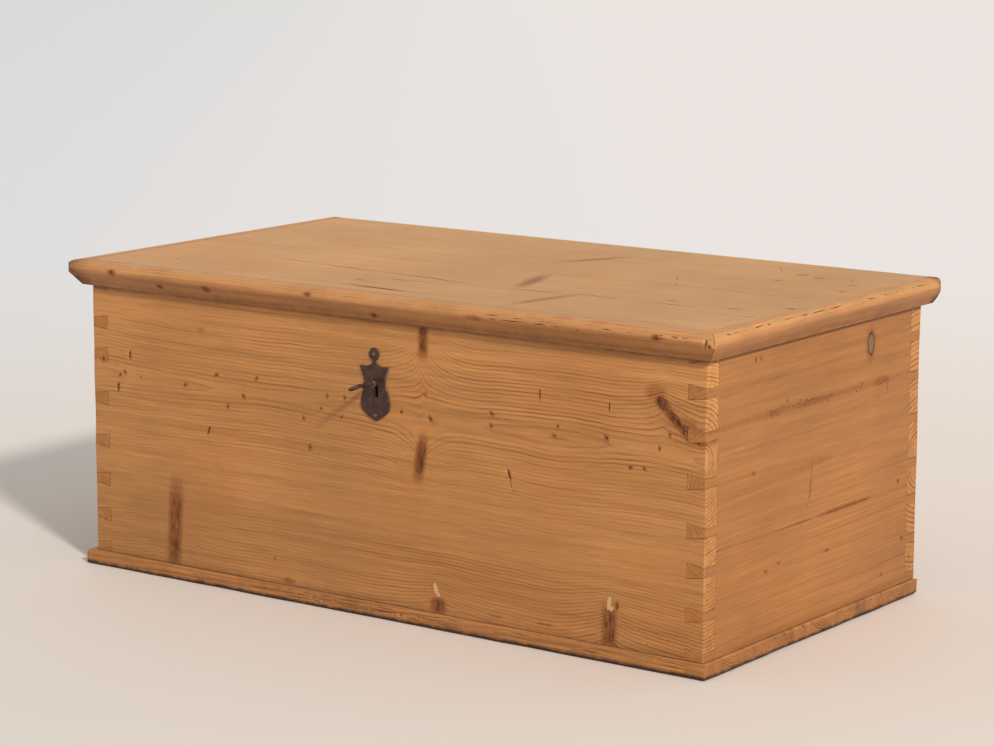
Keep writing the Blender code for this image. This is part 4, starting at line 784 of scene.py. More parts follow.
def cut(obj, tool_mesh):
    """Take the tool out of a piece; the new faces keep the tool's material."""
    tool = link(f"{obj.name}_tool", tool_mesh)
    modifier = obj.modifiers.new("cut", "BOOLEAN")
    modifier.operation = "DIFFERENCE"
    modifier.solver = "EXACT"
    modifier.material_mode = "TRANSFER"
    modifier.object = tool
    before = Vector(obj.dimensions)
    made = evaluated_mesh(obj)
    obj.modifiers.clear()
    made.validate(clean_customdata=False)
    obj.data = made
    bpy.data.objects.remove(tool)
    if len(made.vertices) < FEWEST_VERTICES or (Vector(obj.dimensions) - before).length > SHRUNK:
        raise RuntimeError(f"{obj.name} lost its shape when it was cut")


# Wood figure

class Knot(NamedTuple):
    """A knot on a face, and how far it pulls the growth rings up (or down) around it."""
    along: float
    up: float
    half_along: float
    half_up: float
    lean: float = 0.0
    pull: float = 0.0
    reach: float = 0.03
    span: float = 0.04
    dark: float = 1.0
    power: float = 2.4


class Board(NamedTuple):
    """How a board was sawn: its grain direction, its heart line and what its rings do."""
    along: int
    across: int
    depth: int
    level: float
    way: int
    heart: float
    pith: float
    spacing: float
    drift: float
    seed: float
    beat: tuple = ()
    contrast: tuple = ()
    tone: tuple = ()
    knots: tuple = ()
    pale: tuple = ()
    sweep: tuple = ((0.0, 1.0),)


def between(points, value):
    """A smooth value through control points of (place, value)."""
    if value <= points[0][0]:
        return points[0][1]
    for (start, low), (end, high) in zip(points, points[1:]):
        if value <= end:
            share = (value - start) / (end - start)
            share = share * share * (3 - 2 * share)
            return low + (high - low) * share
    return points[-1][1]


def wave(along, scale, seed):
    return noise.noise(Vector((along * scale, seed, seed * 0.37)))


def knot_shape(knot, along, up):
    """How far out a point is from a knot's middle, where 1 is its edge."""
    run, climb = along - knot.along, up - knot.up
    turned = run * cos(knot.lean) + climb * sin(knot.lean)
    other = climb * cos(knot.lean) - run * sin(knot.lean)
    total = abs(turned / knot.half_along) ** knot.power + abs(other / knot.half_up) ** knot.power
    return total ** (1 / knot.power)


def ring_count(board, place):
    """The growth ring at a place, counted from the heart line."""
    along, across = place[board.along], place[board.across]
    inward = max(0.0, (board.level - place[board.depth]) * board.way)
    shift = sum(size * wave(along, scale, board.seed + more) for size, scale, more in RING_SWAYS)
    for knot in board.knots:
        if knot.pull and abs(across - knot.up) < 3 * knot.span:
            near = exp(-abs(along - knot.along) / knot.reach) * exp(-((across - knot.up) / knot.span) ** 2)
            shift += knot.pull * near
    away = across - shift - board.heart - board.drift * along
    size, scale, more = RING_BEAT
    count = between(board.beat, along) if board.beat else size * wave(along, scale, board.seed + more)
    return HEART_RING + count + (hypot(away, board.pith + inward) - board.pith) / board.spacing


def figure_values(board, mesh):
    """Store what the pine material draws: rings, their contrast, knots and bare chips."""
    stored_values = {"ring": [], "strength": [], "tone": [], "knot": [], "pale": []}
    rings, strengths, tones, knots, pales = stored_values.values()
    spots = [(knot, KNOT_HALO * hypot(knot.half_along, knot.half_up)) for knot in board.knots]
    for vert in mesh.vertices:
        place = vert.co
        along, across = place[board.along], place[board.across]
        rings.append(ring_count(board, place))
        strengths.append((between(board.contrast, across) if board.contrast else PLAIN_CONTRAST)
                         * between(board.sweep, along))
        tones.append(between(board.tone, across) if board.tone else 1.0)
        dark = 0.0
        for knot, far in spots:
            if abs(along - knot.along) > far or abs(across - knot.up) > far:
                continue
            out = knot_shape(knot, along, across)
            dark = max(dark, knot.dark * min(1.0, max(0.0, (KNOT_HALO - out) / (KNOT_HALO - KNOT_CORE))))
        knots.append(dark)
        pales.append(max((min(1.0, max(0.0, CHIP_HALO - knot_shape(chip, along, across)))
                          for chip in board.pale), default=0.0))
    for name, values in stored_values.items():
        set_values(mesh, name, values)


def joint_edges(bm, low, high):
    """Vertices that lie on an edge inside the outline of a box, where dirt gathers."""
    found = set()
    for edge in bm.edges:
        if len(edge.link_faces) != 2 or edge.calc_face_angle(0.0) < radians(JOINT_ANGLE):
            continue
        ends = [vert.co for vert in edge.verts]
        outer = 0
        for axis in range(3):
            for level in (low[axis], high[axis]):
                if all(abs(end[axis] - level) < ON_THE_BOX for end in ends):
                    outer += 1
        if outer < 2:
            found.update(vert.index for vert in edge.verts)
    return found


class Work(NamedTuple):
    """One face of a piece to be sliced finely: its direction, and steps along the other two axes."""
    face: Face
    first_step: float
    second_step: float
    first_fine: tuple = ()
    second_fine: tuple = ()


def near_edges(low, high):
    """Places close to both ends of a range, for the rounding."""
    return [low + step for step in ROUNDING_STEPS] + [high - step for step in ROUNDING_STEPS]


def worked_piece(node, body, board, works, material, low, high, radius, ripple=RIPPLE, tools=(),
                 dirt_and_shade=lambda place: 0.0):
    """A fine copy of a CAD piece with worn edges, hand-planed faces, cuts and its grain."""
    bm = merged_copy(node)
    piece_low, piece_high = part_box(node)
    directions = [work.face.direction() for work in works]
    for direction in directions:
        bmesh.ops.inset_region(bm, faces=faces_towards(bm, direction), thickness=FACE_STRIP, depth=0.0,
                               use_even_offset=True, use_boundary=True)
    for axis in range(3):
        step = PLAIN_ALONG if axis == board.along else PLAIN_ACROSS
        if piece_high[axis] - piece_low[axis] > 2 * WALL:
            lattice(bm, axis, even(piece_low[axis], piece_high[axis], step)
                    + [piece_low[axis] + EDGE_STRIP, piece_high[axis] - EDGE_STRIP])
    for work in reversed(works):
        for axis, step, fine in ((work.face.first, work.first_step, work.first_fine),
                                 (work.face.second, work.second_step, work.second_fine)):
            places = with_fine(even(piece_low[axis], piece_high[axis], step), fine)
            places += near_edges(piece_low[axis], piece_high[axis])
            slice_faces(bm, work.face.direction(), axis, places)
    bmesh.ops.remove_doubles(bm, verts=bm.verts, dist=MERGE_DISTANCE)
    bm.verts.index_update()
    bm.normal_update()
    joints = joint_edges(bm, low, high)
    grime, wear, shaped = [], [], []
    for vert in bm.verts:
        place = vert.co
        moved = soften(place, low, high, radius)
        wear.append(min(1.0, (moved - place).length / FULL_WEAR))
        planed = noise.noise(place * PLANE_SCALE + Vector((board.seed, 0, 0)))
        settle = ripple * (0.5 + planed * 0.5 + 0.35 * noise.noise(place * SCRATCH_SCALE))
        for direction in directions:
            if vert.normal.dot(direction) > NEAR_DIRECTION:
                moved = moved - direction * max(0.0, settle)
        shaped.append(moved)
        # The grime attribute holds dark joints, dirt and painted shade.
        grime.append(max(JOINT_GRIME if vert.index in joints else 0.0, dirt_and_shade(place)))
    for vert, moved in zip(bm.verts, shaped):
        vert.co = moved
    name = f"{node}_pine"
    mesh = mesh_from(bm, name, material)
    set_values(mesh, "grime", grime)
    set_values(mesh, "wear", wear)
    obj = link(name, mesh)
    for tool in tools:
        cut(obj, tool)
    smooth(obj.data, WOOD_SMOOTH_ANGLE)
    figure_values(board, obj.data)
    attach(obj, body)
    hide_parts(node)


# The chest's own wood, read from the boards

class Marks(NamedTuple):
    """What is cut into a face or let into it, as places along and up that face."""
    grooves: tuple = ()
    holes: tuple = ()
    pins: tuple = ()
    ovals: tuple = ()


def stains(dark, *spots):
    """Knots of one darkness that leave the rings as they are."""
    return tuple(Knot(*spot, dark=dark) for spot in spots)


def slit(along, up, wide, tall, lean=0.0):
    """A lens-shaped slit that stands across the grain."""
    return tuple((along + share * tall * sin(lean), up + share * tall * cos(lean), part * wide * 0.8)
                 for share, part in SLIT_SHAPE)


def crack(points, wide):
    """A crack through some points that is widest in its middle."""
    count = len(points) - 1
    return tuple((along, up, wide / 2 * (0.18 + 0.82 * sin(pi * index / count)))
                 for index, (along, up) in enumerate(points))


def wander(start, end, steps, sway, seed):
    """Points from start to end that stray a little to both sides, as a crack does."""
    points = []
    for index in range(steps + 1):
        share = index / steps
        stray = sway * noise.noise(Vector((share * steps * 0.9, seed, 0.5)))
        points.append((start[0] + (end[0] - start[0]) * share,
                       start[1] + (end[1] - start[1]) * share + stray))
    return points


def clear_of(hole, others):
    """Whether a worm hole stays clear of some others."""
    return all(hypot(hole[0] - other[0], hole[1] - other[1]) > (hole[2] + other[2]) * HOLE_GAP
               for other in others)


def specks(seed, low, high, count, size):
    """Worm holes strewn over a rectangle of a face."""
    chance = Random(seed)
    found = []
    for _ in range(count * 4):
        hole = (chance.uniform(low[0], high[0]), chance.uniform(low[1], high[1]),
                size * chance.uniform(0.55, 1.25))
        if len(found) < count and clear_of(hole, found):
            found.append(hole)
    return tuple(found)


def fibres(seed, low, high, rows, longest, wide):
    """Short cracks along the grain in rows, as on an edge that worms and wear have opened."""
    chance = Random(seed)
    found = []
    gap = (high[1] - low[1]) / (rows - 1) if rows > 1 else LONE_ROW_GAP
    for row in range(rows):
        up = low[1] + gap * row
        along = low[0] + chance.uniform(0, longest)
        while along < high[0] - SHORTEST_CRACK:
            length = min(longest * chance.choice(CRACK_LENGTHS), high[0] - along)
            end = (along + length, up + gap * chance.uniform(-0.1, 0.1))
            path = wander((along, up), end, 4, 0.22 * gap, chance.uniform(0, 90))
            found.append(crack(path, min(wide, 0.48 * gap) * chance.uniform(0.55, 1.0)))
            along += length + longest * chance.choice(CRACK_PAUSES)
    return tuple(found)


def apart(holes):
    """The holes without those that would run into an earlier one."""
    kept = []
    for hole in holes:
        if clear_of(hole, kept):
            kept.append(hole)
    return kept


FRONT_PINE = Board(
    along=0, across=2, depth=1, level=FRONT_FACE, way=-1, heart=0.284, pith=0.012, spacing=0.0050,
    drift=0.0, seed=1.0, sweep=((-0.5, 0.75), (-0.15, 0.85), (0.05, 1.05), (0.5, 1.2)),
    beat=((-0.515, 0.35), (-0.43, 1.0), (-0.35, 1.5), (-0.265, 2.0), (-0.20, 2.3), (-0.13, 2.0),
          (-0.05, 1.45), (0.02, 1.1), (0.035, 1.0), (0.042, 0.93), (0.05, 1.0), (0.062, 1.1), (0.075, 1.0),
          (0.095, 0.8), (0.12, 1.0), (0.137, 1.08), (0.154, 1.0), (0.21, 0.5), (0.27, 0.0), (0.29, -0.08),
          (0.31, 0.0), (0.34, 0.4), (0.385, 1.0), (0.43, 1.3), (0.487, 1.0), (0.515, 0.6)),
    contrast=((0.02, 0.7), (0.085, 0.50), (0.125, 0.16), (0.180, 0.20), (0.205, 0.42), (0.25, 0.5),
              (0.28, 0.85), (0.31, 0.8), (0.36, 0.8), (0.38, 0.35), (0.41, 0.3)),
    tone=((0.02, 0.90), (0.10, 0.90), (0.18, 0.98), (0.27, 1.0), (0.33, 1.06), (0.375, 1.14), (0.40, 1.14)),
    knots=(Knot(-0.365, 0.0746, 0.0098, 0.050, -0.065, pull=0.030, reach=0.036, span=0.075, power=4.5),
           Knot(0.0748, 0.389, 0.0066, 0.020, 0.0, pull=0.042, reach=0.024, span=0.062, dark=0.92, power=4.5),
           Knot(0.0705, 0.2304, 0.0072, 0.0250, -0.16, pull=-0.038, reach=0.026, span=0.050, power=3.2),
           Knot(0.100, 0.034, 0.0100, 0.009, 0.0, pull=0.018, reach=0.045, span=0.05),
           Knot(0.3727, 0.047, 0.0092, 0.022, 0.0, pull=0.022, reach=0.045, span=0.06, power=4.5),
           Knot(0.3846, 0.077, 0.0025, 0.005),
           Knot(0.450, 0.3470, 0.0120, 0.0075, -0.76, pull=0.020, reach=0.040, span=0.040),
           Knot(0.4665, 0.3305, 0.0160, 0.0062, -0.735), Knot(0.4885, 0.3140, 0.0160, 0.0078, -0.547),
           Knot(0.5065, 0.3080, 0.0085, 0.0075, 0.1, pull=-0.010, reach=0.030, span=0.030),
           *stains(0.80, (0.194, 0.0335, 0.009, 0.0012), (0.273, 0.035, 0.0125, 0.0012)),
           *stains(0.70, (-0.1577, 0.029, 0.009, 0.0035)),
           *stains(0.62, (0.4400, 0.3600, 0.014, 0.009), (0.4880, 0.3260, 0.012, 0.006, -0.3)),
           *stains(0.50, (0.079, 0.317, 0.0025, 0.004)), *stains(0.45, (-0.312, 0.363, 0.006, 0.004)),
           *stains(0.30, (0.470, 0.325, 0.040, 0.022, -0.70)),
           *stains(0.22, (-0.480, 0.300, 0.022, 0.014, 0.3), (0.365, 0.050, 0.030, 0.030)),
           *stains(0.20, (0.100, 0.050, 0.026, 0.022)), *stains(0.18, (-0.215, 0.290, 0.030, 0.014)),
           *stains(0.16, (0.105, 0.286, 0.018, 0.0050, 0.05))),
    pale=(Knot(0.0955, 0.056, 0.0032, 0.0080, 0.25), Knot(0.0990, 0.0490, 0.0045, 0.0026, -0.5),
          Knot(0.3725, 0.0790, 0.0030, 0.0090, -0.12), Knot(0.3765, 0.0720, 0.0022, 0.0040, -0.6)))

FRONT_MARKS = Marks(
    grooves=(slit(-0.4458, 0.314, 0.0036, 0.015), slit(-0.4688, 0.2662, 0.0052, 0.015),
             slit(-0.300, 0.2227, 0.0042, 0.014, 0.3), slit(0.2627, 0.3373, 0.003, 0.018),
             slit(0.370, 0.3335, 0.002, 0.016), slit(0.2146, 0.2265, 0.004, 0.017, -0.35),
             slit(0.4885, 0.365, 0.002, 0.014),
             crack(((0.2146, 0.2185), (0.2170, 0.2110), (0.2210, 0.2050)), 0.0012),
             crack(((0.446, 0.350), (0.456, 0.340), (0.466, 0.330), (0.477, 0.321), (0.489, 0.313),
                    (0.500, 0.307), (0.508, 0.308)), 0.0026),
             crack(((0.0735, 0.250), (0.0700, 0.232), (0.0672, 0.214), (0.0655, 0.200)), 0.0018),
             crack(((-0.360, 0.118), (-0.3630, 0.100), (-0.3655, 0.080), (-0.3672, 0.055)), 0.0010)),
    holes=(specks(3, (0.415, 0.034), (0.470, 0.055), 9, 0.0008)
           + specks(4, (-0.30, 0.030), (0.30, 0.060), 9, 0.0007)),
    pins=((-0.496, 0.3035, 0.004), (-0.4642, 0.2842, 0.0028), (-0.455, 0.2888, 0.0032),
          (-0.425, 0.285, 0.0015), (-0.3415, 0.2831, 0.003), (-0.2842, 0.3031, 0.0034),
          (-0.2119, 0.3062, 0.003),
          (-0.2354, 0.2788, 0.0034), (-0.2638, 0.2612, 0.003), (-0.1285, 0.2604, 0.0028),
          (-0.0981, 0.2777, 0.0024), (-0.0873, 0.2958, 0.0026), (-0.0569, 0.2969, 0.003),
          (-0.0623, 0.270, 0.0026), (-0.1173, 0.2219, 0.0040), (0.0392, 0.2888, 0.0033),
          (0.0877, 0.285, 0.0042), (0.1873, 0.3035, 0.0033), (0.1862, 0.2877, 0.0027),
          (0.2912, 0.2992, 0.0024), (0.2862, 0.2865, 0.0030), (0.3665, 0.2938, 0.0040),
          (0.4462, 0.2896, 0.0024), (0.4615, 0.3092, 0.0024), (0.4031, 0.260, 0.0036),
          (0.4238, 0.2612, 0.0029), (-0.1815, 0.0565, 0.0018)))

RIGHT_PINE = Board(
    along=1, across=2, depth=0, level=RIGHT_FACE, way=1, heart=0.235, pith=0.050, spacing=0.0058,
    drift=0.006, seed=4.0,
    contrast=((0.02, 0.42), (0.10, 0.22), (0.150, 0.30), (0.20, 0.18), (0.235, 0.45), (0.26, 0.22),
              (0.29, 0.10), (0.41, 0.10)),
    knots=(Knot(0.1367, 0.373, 0.0110, 0.0190, pull=0.014, reach=0.03, span=0.04, dark=0.66, power=2.0),
           Knot(0.10, 0.012, 0.01, 0.004),
           Knot(-0.2654, 0.325, 0.0062, 0.0052), Knot(-0.259, 0.1117, 0.0045, 0.0040),
           *stains(0.90, (0.0304, 0.1096, 0.0060, 0.0015)),
           *stains(0.80, (-0.1267, 0.1117, 0.0040, 0.0022), (-0.0946, 0.1167, 0.0035, 0.0020),
                   (0.2367, 0.0867, 0.0035, 0.0030), (0.222, 0.170, 0.0035, 0.0030),
                   (0.180, 0.047, 0.0030, 0.0020), (-0.161, 0.247, 0.0030, 0.0022)),
           *stains(0.75, (0.075, 0.161, 0.055, 0.0028)), *stains(0.70, (-0.080, 0.328, 0.0030, 0.0020)),
           *stains(0.66, (0.17, 0.3180, 0.022, 0.0045)), *stains(0.62, (-0.01, 0.3175, 0.055, 0.0040)),
           *stains(0.60, (-0.11, 0.3175, 0.020, 0.0045)), *stains(0.50, (-0.05, 0.1605, 0.040, 0.0016)),
           *stains(0.42, (0.0, 0.3175, 0.270, 0.0046), (-0.2654, 0.325, 0.0110, 0.0100)),
           *stains(0.16, (-0.16, 0.240, 0.060, 0.0060)), *stains(0.14, (0.05, 0.2400, 0.090, 0.0050))))

RIGHT_MARKS = Marks(
    grooves=(crack(((-0.0146, 0.2388), (-0.0146, 0.2250), (-0.0146, 0.2117), (-0.0175, 0.191),
                    (-0.025, 0.176)), 0.0030),
             crack(((0.1854, 0.298), (0.1850, 0.308), (0.1858, 0.317), (0.1854, 0.325)), 0.0022),
             crack(((0.112, 0.1605), (0.122, 0.1600), (0.133, 0.1602), (0.142, 0.1606)), 0.0030),
             slit(0.2625, 0.318, 0.0020, 0.012, 0.4), slit(0.262, 0.355, 0.0020, 0.010, -0.3)),
    holes=(specks(11, (-0.125, 0.311), (-0.095, 0.324), 9, 0.0015)
           + specks(12, (-0.055, 0.311), (0.035, 0.324), 24, 0.0015)
           + specks(13, (0.098, 0.311), (0.118, 0.324), 7, 0.0015)
           + specks(14, (0.155, 0.310), (0.190, 0.325), 10, 0.0016)
           + specks(15, (-0.24, 0.311), (0.24, 0.324), 20, 0.0009)),
    pins=((-0.160, 0.393, 0.0030), (-0.1475, 0.393, 0.0028)),
    ovals=((0.1367, 0.3725, 0.0132, 0.0250),))

LEFT_PINE = RIGHT_PINE._replace(
    level=LEFT_FACE, way=-1, heart=0.215, drift=-0.015, seed=9.0,
    knots=(Knot(-0.06, 0.300, 0.012, 0.010, pull=0.012, reach=0.03, span=0.04),
           Knot(0.17, 0.095, 0.007, 0.006)))
LEFT_MARKS = Marks(
    grooves=(crack(wander((-0.21, 0.352), (-0.05, 0.349), 7, 0.004, 21), 0.0018),
             crack(wander((0.05, 0.120), (0.20, 0.124), 6, 0.004, 22), 0.0014)),
    holes=specks(23, (-0.20, 0.060), (-0.05, 0.090), 14, 0.0010),
    pins=((0.08, 0.362, 0.0032), (-0.15, 0.19, 0.0026), (0.21, 0.255, 0.0028)))

BACK_PINE = FRONT_PINE._replace(
    level=BACK_FACE, way=1, heart=0.175, spacing=0.0068, drift=0.03, seed=14.0, beat=(), contrast=(),
    knots=(Knot(-0.29, 0.28, 0.016, 0.012, pull=0.012, reach=0.04, span=0.04),
           Knot(0.12, 0.105, 0.014, 0.011, pull=-0.012, reach=0.04, span=0.04),
           Knot(0.36, 0.33, 0.010, 0.008)),
    pale=())
BACK_MARKS = Marks(
    grooves=(crack(wander((-0.18, 0.233), (0.14, 0.239), 10, 0.005, 31), 0.0020),
             crack(wander((0.24, 0.078), (0.44, 0.083), 7, 0.004, 32), 0.0016)),
    holes=specks(33, (-0.45, 0.030), (-0.25, 0.060), 16, 0.0010),
    pins=((-0.41, 0.19, 0.0032), (0.02, 0.32, 0.0030), (0.27, 0.21, 0.0028)))

BASE_PINE = Board(along=0, across=1, depth=2, level=BASE_HIGH.z, way=1, heart=-0.20, pith=0.030,
                  spacing=0.0042, drift=0.01, seed=18.0, contrast=((0.0, 0.8),))

LID_PINE = Board(
    along=0, across=1, depth=2, level=LID_TOP, way=1, heart=-0.118, pith=0.020, spacing=0.0075,
    drift=0.012, seed=6.0,
    knots=(Knot(0.105, -0.068, 0.010, 0.050, 0.30, pull=0.010, reach=0.04, span=0.06, dark=0.74),
           Knot(0.210, -0.190, 0.0070, 0.050, -0.20, pull=-0.010, reach=0.03, span=0.06, dark=0.66),
           Knot(0.060, 0.150, 0.0075, 0.043, -0.46, pull=0.008, reach=0.03, span=0.06, dark=0.66),
           *stains(0.95, (-0.0225, -0.2445, 0.043, 0.0032, -0.035)),
           *stains(0.80, (0.475, 0.155, 0.006, 0.003), (0.490, 0.100, 0.006, 0.003),
                   (0.370, 0.135, 0.007, 0.003), (0.510, -0.065, 0.006, 0.004)),
           *stains(0.70, (-0.090, -0.200, 0.008, 0.003), (0.450, -0.110, 0.008, 0.003),
                   (0.350, -0.100, 0.008, 0.003)),
           *stains(0.60, (0.370, 0.200, 0.008, 0.007), (0.405, 0.185, 0.007, 0.006))))

LID_MARKS = Marks(
    grooves=(crack(wander((-0.330, -0.104), (-0.235, -0.118), 6, 0.004, 41), 0.0030),
             crack(wander((-0.231, -0.1165), (-0.108, -0.130), 9, 0.004, 42), 0.0046),
             crack(wander((-0.104, -0.128), (0.052, -0.137), 10, 0.004, 43), 0.0052),
             crack(wander((0.116, -0.143), (0.205, -0.137), 6, 0.004, 44), 0.0040),
             crack(wander((0.215, -0.126), (0.280, -0.125), 5, 0.003, 45), 0.0040),
             crack(wander((0.325, -0.126), (0.405, -0.129), 6, 0.003, 46), 0.0032),
             crack(wander((-0.064, -0.171), (0.006, -0.165), 5, 0.003, 47), 0.0028),
             crack(wander((0.31, 0.240), (0.33, 0.210), 3, 0.002, 48), 0.0012),
             crack(wander((0.235, 0.090), (0.255, 0.060), 3, 0.002, 49), 0.0012),
             crack(wander((0.445, 0.205), (0.460, 0.180), 3, 0.002, 50), 0.0014),
             crack(wander((0.485, -0.150), (0.512, -0.152), 4, 0.003, 51), 0.0020),
             crack(wander((0.480, -0.172), (0.512, -0.176), 4, 0.003, 52), 0.0018),
             crack(wander((0.470, -0.188), (0.510, -0.190), 4, 0.003, 53), 0.0016),
             crack(wander((0.38, -0.262), (0.50, -0.268), 8, 0.003, 54), 0.0018)),
    holes=(specks(55, (0.30, -0.26), (0.50, -0.22), 14, 0.0009)
           + specks(56, (-0.45, 0.10), (-0.20, 0.24), 8, 0.0009)),
    pins=((-0.30, 0.05, 0.0026), (-0.42, -0.20, 0.0030), (0.28, 0.02, 0.0026)))

MOULDING_PINE = Board(along=0, across=2, depth=1, level=MOULDING_LOW.y, way=-1, heart=0.400, pith=0.060,
                      spacing=0.0056, drift=0.004, seed=25.0,
                      tone=((0.4096, 0.84), (0.4250, 0.90), (0.4320, 0.98), (0.4380, 1.16), (0.4456, 1.20)),
                      knots=(Knot(-0.454, 0.4345, 0.006, 0.004), Knot(-0.370, 0.421, 0.005, 0.003),
                             Knot(-0.282, 0.426, 0.006, 0.004), Knot(0.006, 0.417, 0.005, 0.003),
                             Knot(0.455, 0.435, 0.005, 0.004), Knot(0.175, 0.432, 0.011, 0.003, dark=0.7),
                             Knot(-0.100, 0.437, 0.005, 0.003)))
SIDE_MOULDING_PINE = MOULDING_PINE._replace(
    along=1, depth=0, level=MOULDING_HIGH.x, way=1, seed=27.0, knots=())

BASE_FRONT = Face(0, 2, 1, BASE_LOW.y, -1)
BASE_MARKS = Marks(
    grooves=fibres(81, (-0.500, 0.0165), (-0.380, 0.0190), 2, 0.030, 0.0013)
    + fibres(82, (-0.170, 0.0085), (0.140, 0.0170), 3, 0.030, 0.0022)
    + fibres(83, (0.150, 0.0110), (0.500, 0.0165), 2, 0.080, 0.0020)
    + fibres(84, (-0.370, 0.0120), (-0.180, 0.0120), 1, 0.050, 0.0011),
    holes=specks(85, (-0.16, 0.0104), (0.13, 0.0112), 14, 0.0010)
    + specks(86, (-0.16, 0.0142), (0.13, 0.0152), 14, 0.0010))
MOULDING_FRONT = Face(0, 2, 1, MOULDING_LOW.y + 0.0008, -1)
MOULDING_RIGHT = Face(1, 2, 0, MOULDING_HIGH.x - 0.0008, 1)
MOULDING_MARKS = {
    "front": (MOULDING_FRONT, Marks(
        grooves=fibres(61, (0.184, 0.4335), (0.312, 0.4420), 3, 0.030, 0.0026)
        + fibres(62, (0.335, 0.4375), (0.420, 0.4410), 2, 0.040, 0.0021)
        + fibres(63, (0.440, 0.4335), (0.512, 0.4420), 3, 0.024, 0.0026)
        + fibres(64, (-0.380, 0.4395), (0.150, 0.4420), 2, 0.070, 0.0010)
        + (crack(((0.5245, 0.4440), (0.5285, 0.4360), (0.5258, 0.4280), (0.5285, 0.4150)), 0.0034),),
        holes=((0.5325, 0.4305, 0.0026),) + specks(67, (0.33, 0.4200), (0.43, 0.4350), 5, 0.0010))),
    "right": (MOULDING_RIGHT, Marks(
        grooves=fibres(68, (-0.282, 0.4335), (-0.225, 0.4420), 3, 0.024, 0.0026)
        + fibres(69, (-0.210, 0.4375), (0.030, 0.4420), 2, 0.050, 0.0022)
        + fibres(70, (0.040, 0.4350), (0.262, 0.4420), 3, 0.036, 0.0025),
        holes=specks(71, (-0.20, 0.4280), (0.26, 0.4355), 16, 0.0011)))}

# Faces to be sliced, with their steps along and up
LONG_BOARD_ENDS = (Work(RIGHT, 0.004, 0.005), Work(LEFT, 0.004, 0.005))
SIDE_PLANK_ENDS = (Work(FRONT, 0.004, 0.005), Work(BACK, 0.005, 0.006))
BASE_WORKS = (Work(BASE_FRONT, 0.006, 0.0035), Work(Face(1, 2, 0, BASE_HIGH.x, 1), 0.005, 0.0035),
              Work(Face(1, 2, 0, BASE_LOW.x, -1), 0.005, 0.0035),
              Work(Face(0, 2, 1, BASE_BACK, 1), 0.008, 0.006))

# What each kind of wood is: its setting, the axis of its grain, and how end grain and rings show
WOODS = {
    "front_pine_wood": {"early": "front", "along": 0, "end_tone": 1.06},
    "side_pine_wood": {"early": "side", "along": 1, "end_tone": 1.08, "streaks": 0.8, "end_rings": 0.5},
    "lid_pine_wood": {"early": "lid", "along": 0, "end_tone": 0.85, "strength": 0.42, "streaks": 0.45},
    "base_pine_wood": {"early": "base", "along": 0, "end_tone": 0.92},
    "moulding_wood_pine": {"early": "moulding", "along": 0, "end_tone": 0.85, "strength": 0.8,
                           "streaks": 0.7, "rubbed_and_highlit": "lid"}}
WOODS["side_moulding_wood_pine"] = {**WOODS["moulding_wood_pine"], "along": 1}


def material_named(name, build, *values, **more):
    """A material by name, which is built the first time that it is asked for."""
    return bpy.data.materials.get(name) or build(name, *values, **more)


def wood(name):
    return material_named(name, pine_material, **WOODS[name])


def marks_cutters(name, face, marks):
    """The meshes that cut a face's cracks and bore its worm holes."""
    inside = material_named("crack_inside", crack_material)
    tools = []
    if marks.grooves:
        bm = bmesh.new()
        for path in marks.grooves:
            add_groove(bm, face, path)
        tools.append(mesh_from(bm, f"{name}_grooves", inside))
    if marks.holes:
        points = [(face.at(along, up, -HOLE_DEPTH), (size, size * 0.8, HOLE_DEPTH + 0.001), face.turn())
                  for along, up, size in apart(marks.holes)]
        tools.append(run_nodes(shared("worm_holes", hole_tree), marked_points(f"{name}_hole_points", points),
                               f"{name}_holes", {"Sides": 7, "Depth": 1.0, "Material": inside}))
    return tools


def fine_ranges(board, axis_index, more=()):
    """Where a face needs its closest slices: around knots, but not along long or faint ones."""
    found = list(more)
    for knot in board.knots + board.pale:
        if (knot.half_along, knot.half_up)[axis_index] > LONG_KNOT or knot.dark < FAINT_KNOT:
            continue
        centre = (knot.along, knot.up)[axis_index]
        half = (max(knot.half_along, knot.half_up * abs(sin(knot.lean))),
                max(knot.half_up, knot.half_along * abs(sin(knot.lean))))[axis_index]
        found.append((centre - half * KNOT_MARGIN - FINE_MARGIN, centre + half * KNOT_MARGIN + FINE_MARGIN))
    found.sort()
    merged = []
    for low, high in found:
        if merged and low < merged[-1][1] + FINE_GAP:
            merged[-1] = (merged[-1][0], max(high, merged[-1][1]))
        else:
            merged.append((low, high))
    return tuple(merged)


def edge_noise(axes, place, seed, shift=0.0):
    """Noise that changes along the edge between two axes."""
    return noise.noise(Vector((place[3 - axes[0] - axes[1]] * EDGE_SCALE, seed, axes[0] * 3.1 + shift)))


def carcass_radius(axes, place):
    """Corners are rounder than rims."""
    size = bpy.context.scene.chest_pine.edge_radius * (1.0 if axes == (0, 1) else RIM_WEAR)
    return size * (0.8 + 0.8 * edge_noise(axes, place, 2.0, place.x))


def lid_radius(axes, place):
    return bpy.context.scene.chest_pine.edge_radius * LID_WEAR


def carcass_dirt_and_shade(place):
    """Darker low down, painted shade with a dirt line under the lid's moulding, and painted shade inside the
    keyhole.
    """
    # Painted shade inside the keyhole.
    if (place.y < FRONT_HIGH.y and abs(place.x - KEYHOLE_X) < KEYHOLE_HALF_WIDTH
            and abs(place.z - KEYHOLE_Z) < KEYHOLE_HALF_HEIGHT):
        return KEYHOLE_SHADE
    sunk = min(place.x - LEFT_FACE, RIGHT_FACE - place.x, place.y - FRONT_FACE, BACK_FACE - place.y)
    if sunk > FACE_DEPTH:
        return 0.0
    # Painted shade under the moulding's overhang, with a dirt line where the wall meets it.
    under_lid = max(0.0, 1 - abs(MOULDING_LOW.z - place.z) / SHADE_BELOW_LID)
    # The walls also grow darker towards the bottom.
    return max(0.35 * max(0.0, 1 - (place.z - WALL_BOTTOM) / DARKER_ABOVE_BASE), 0.85 * under_lid)


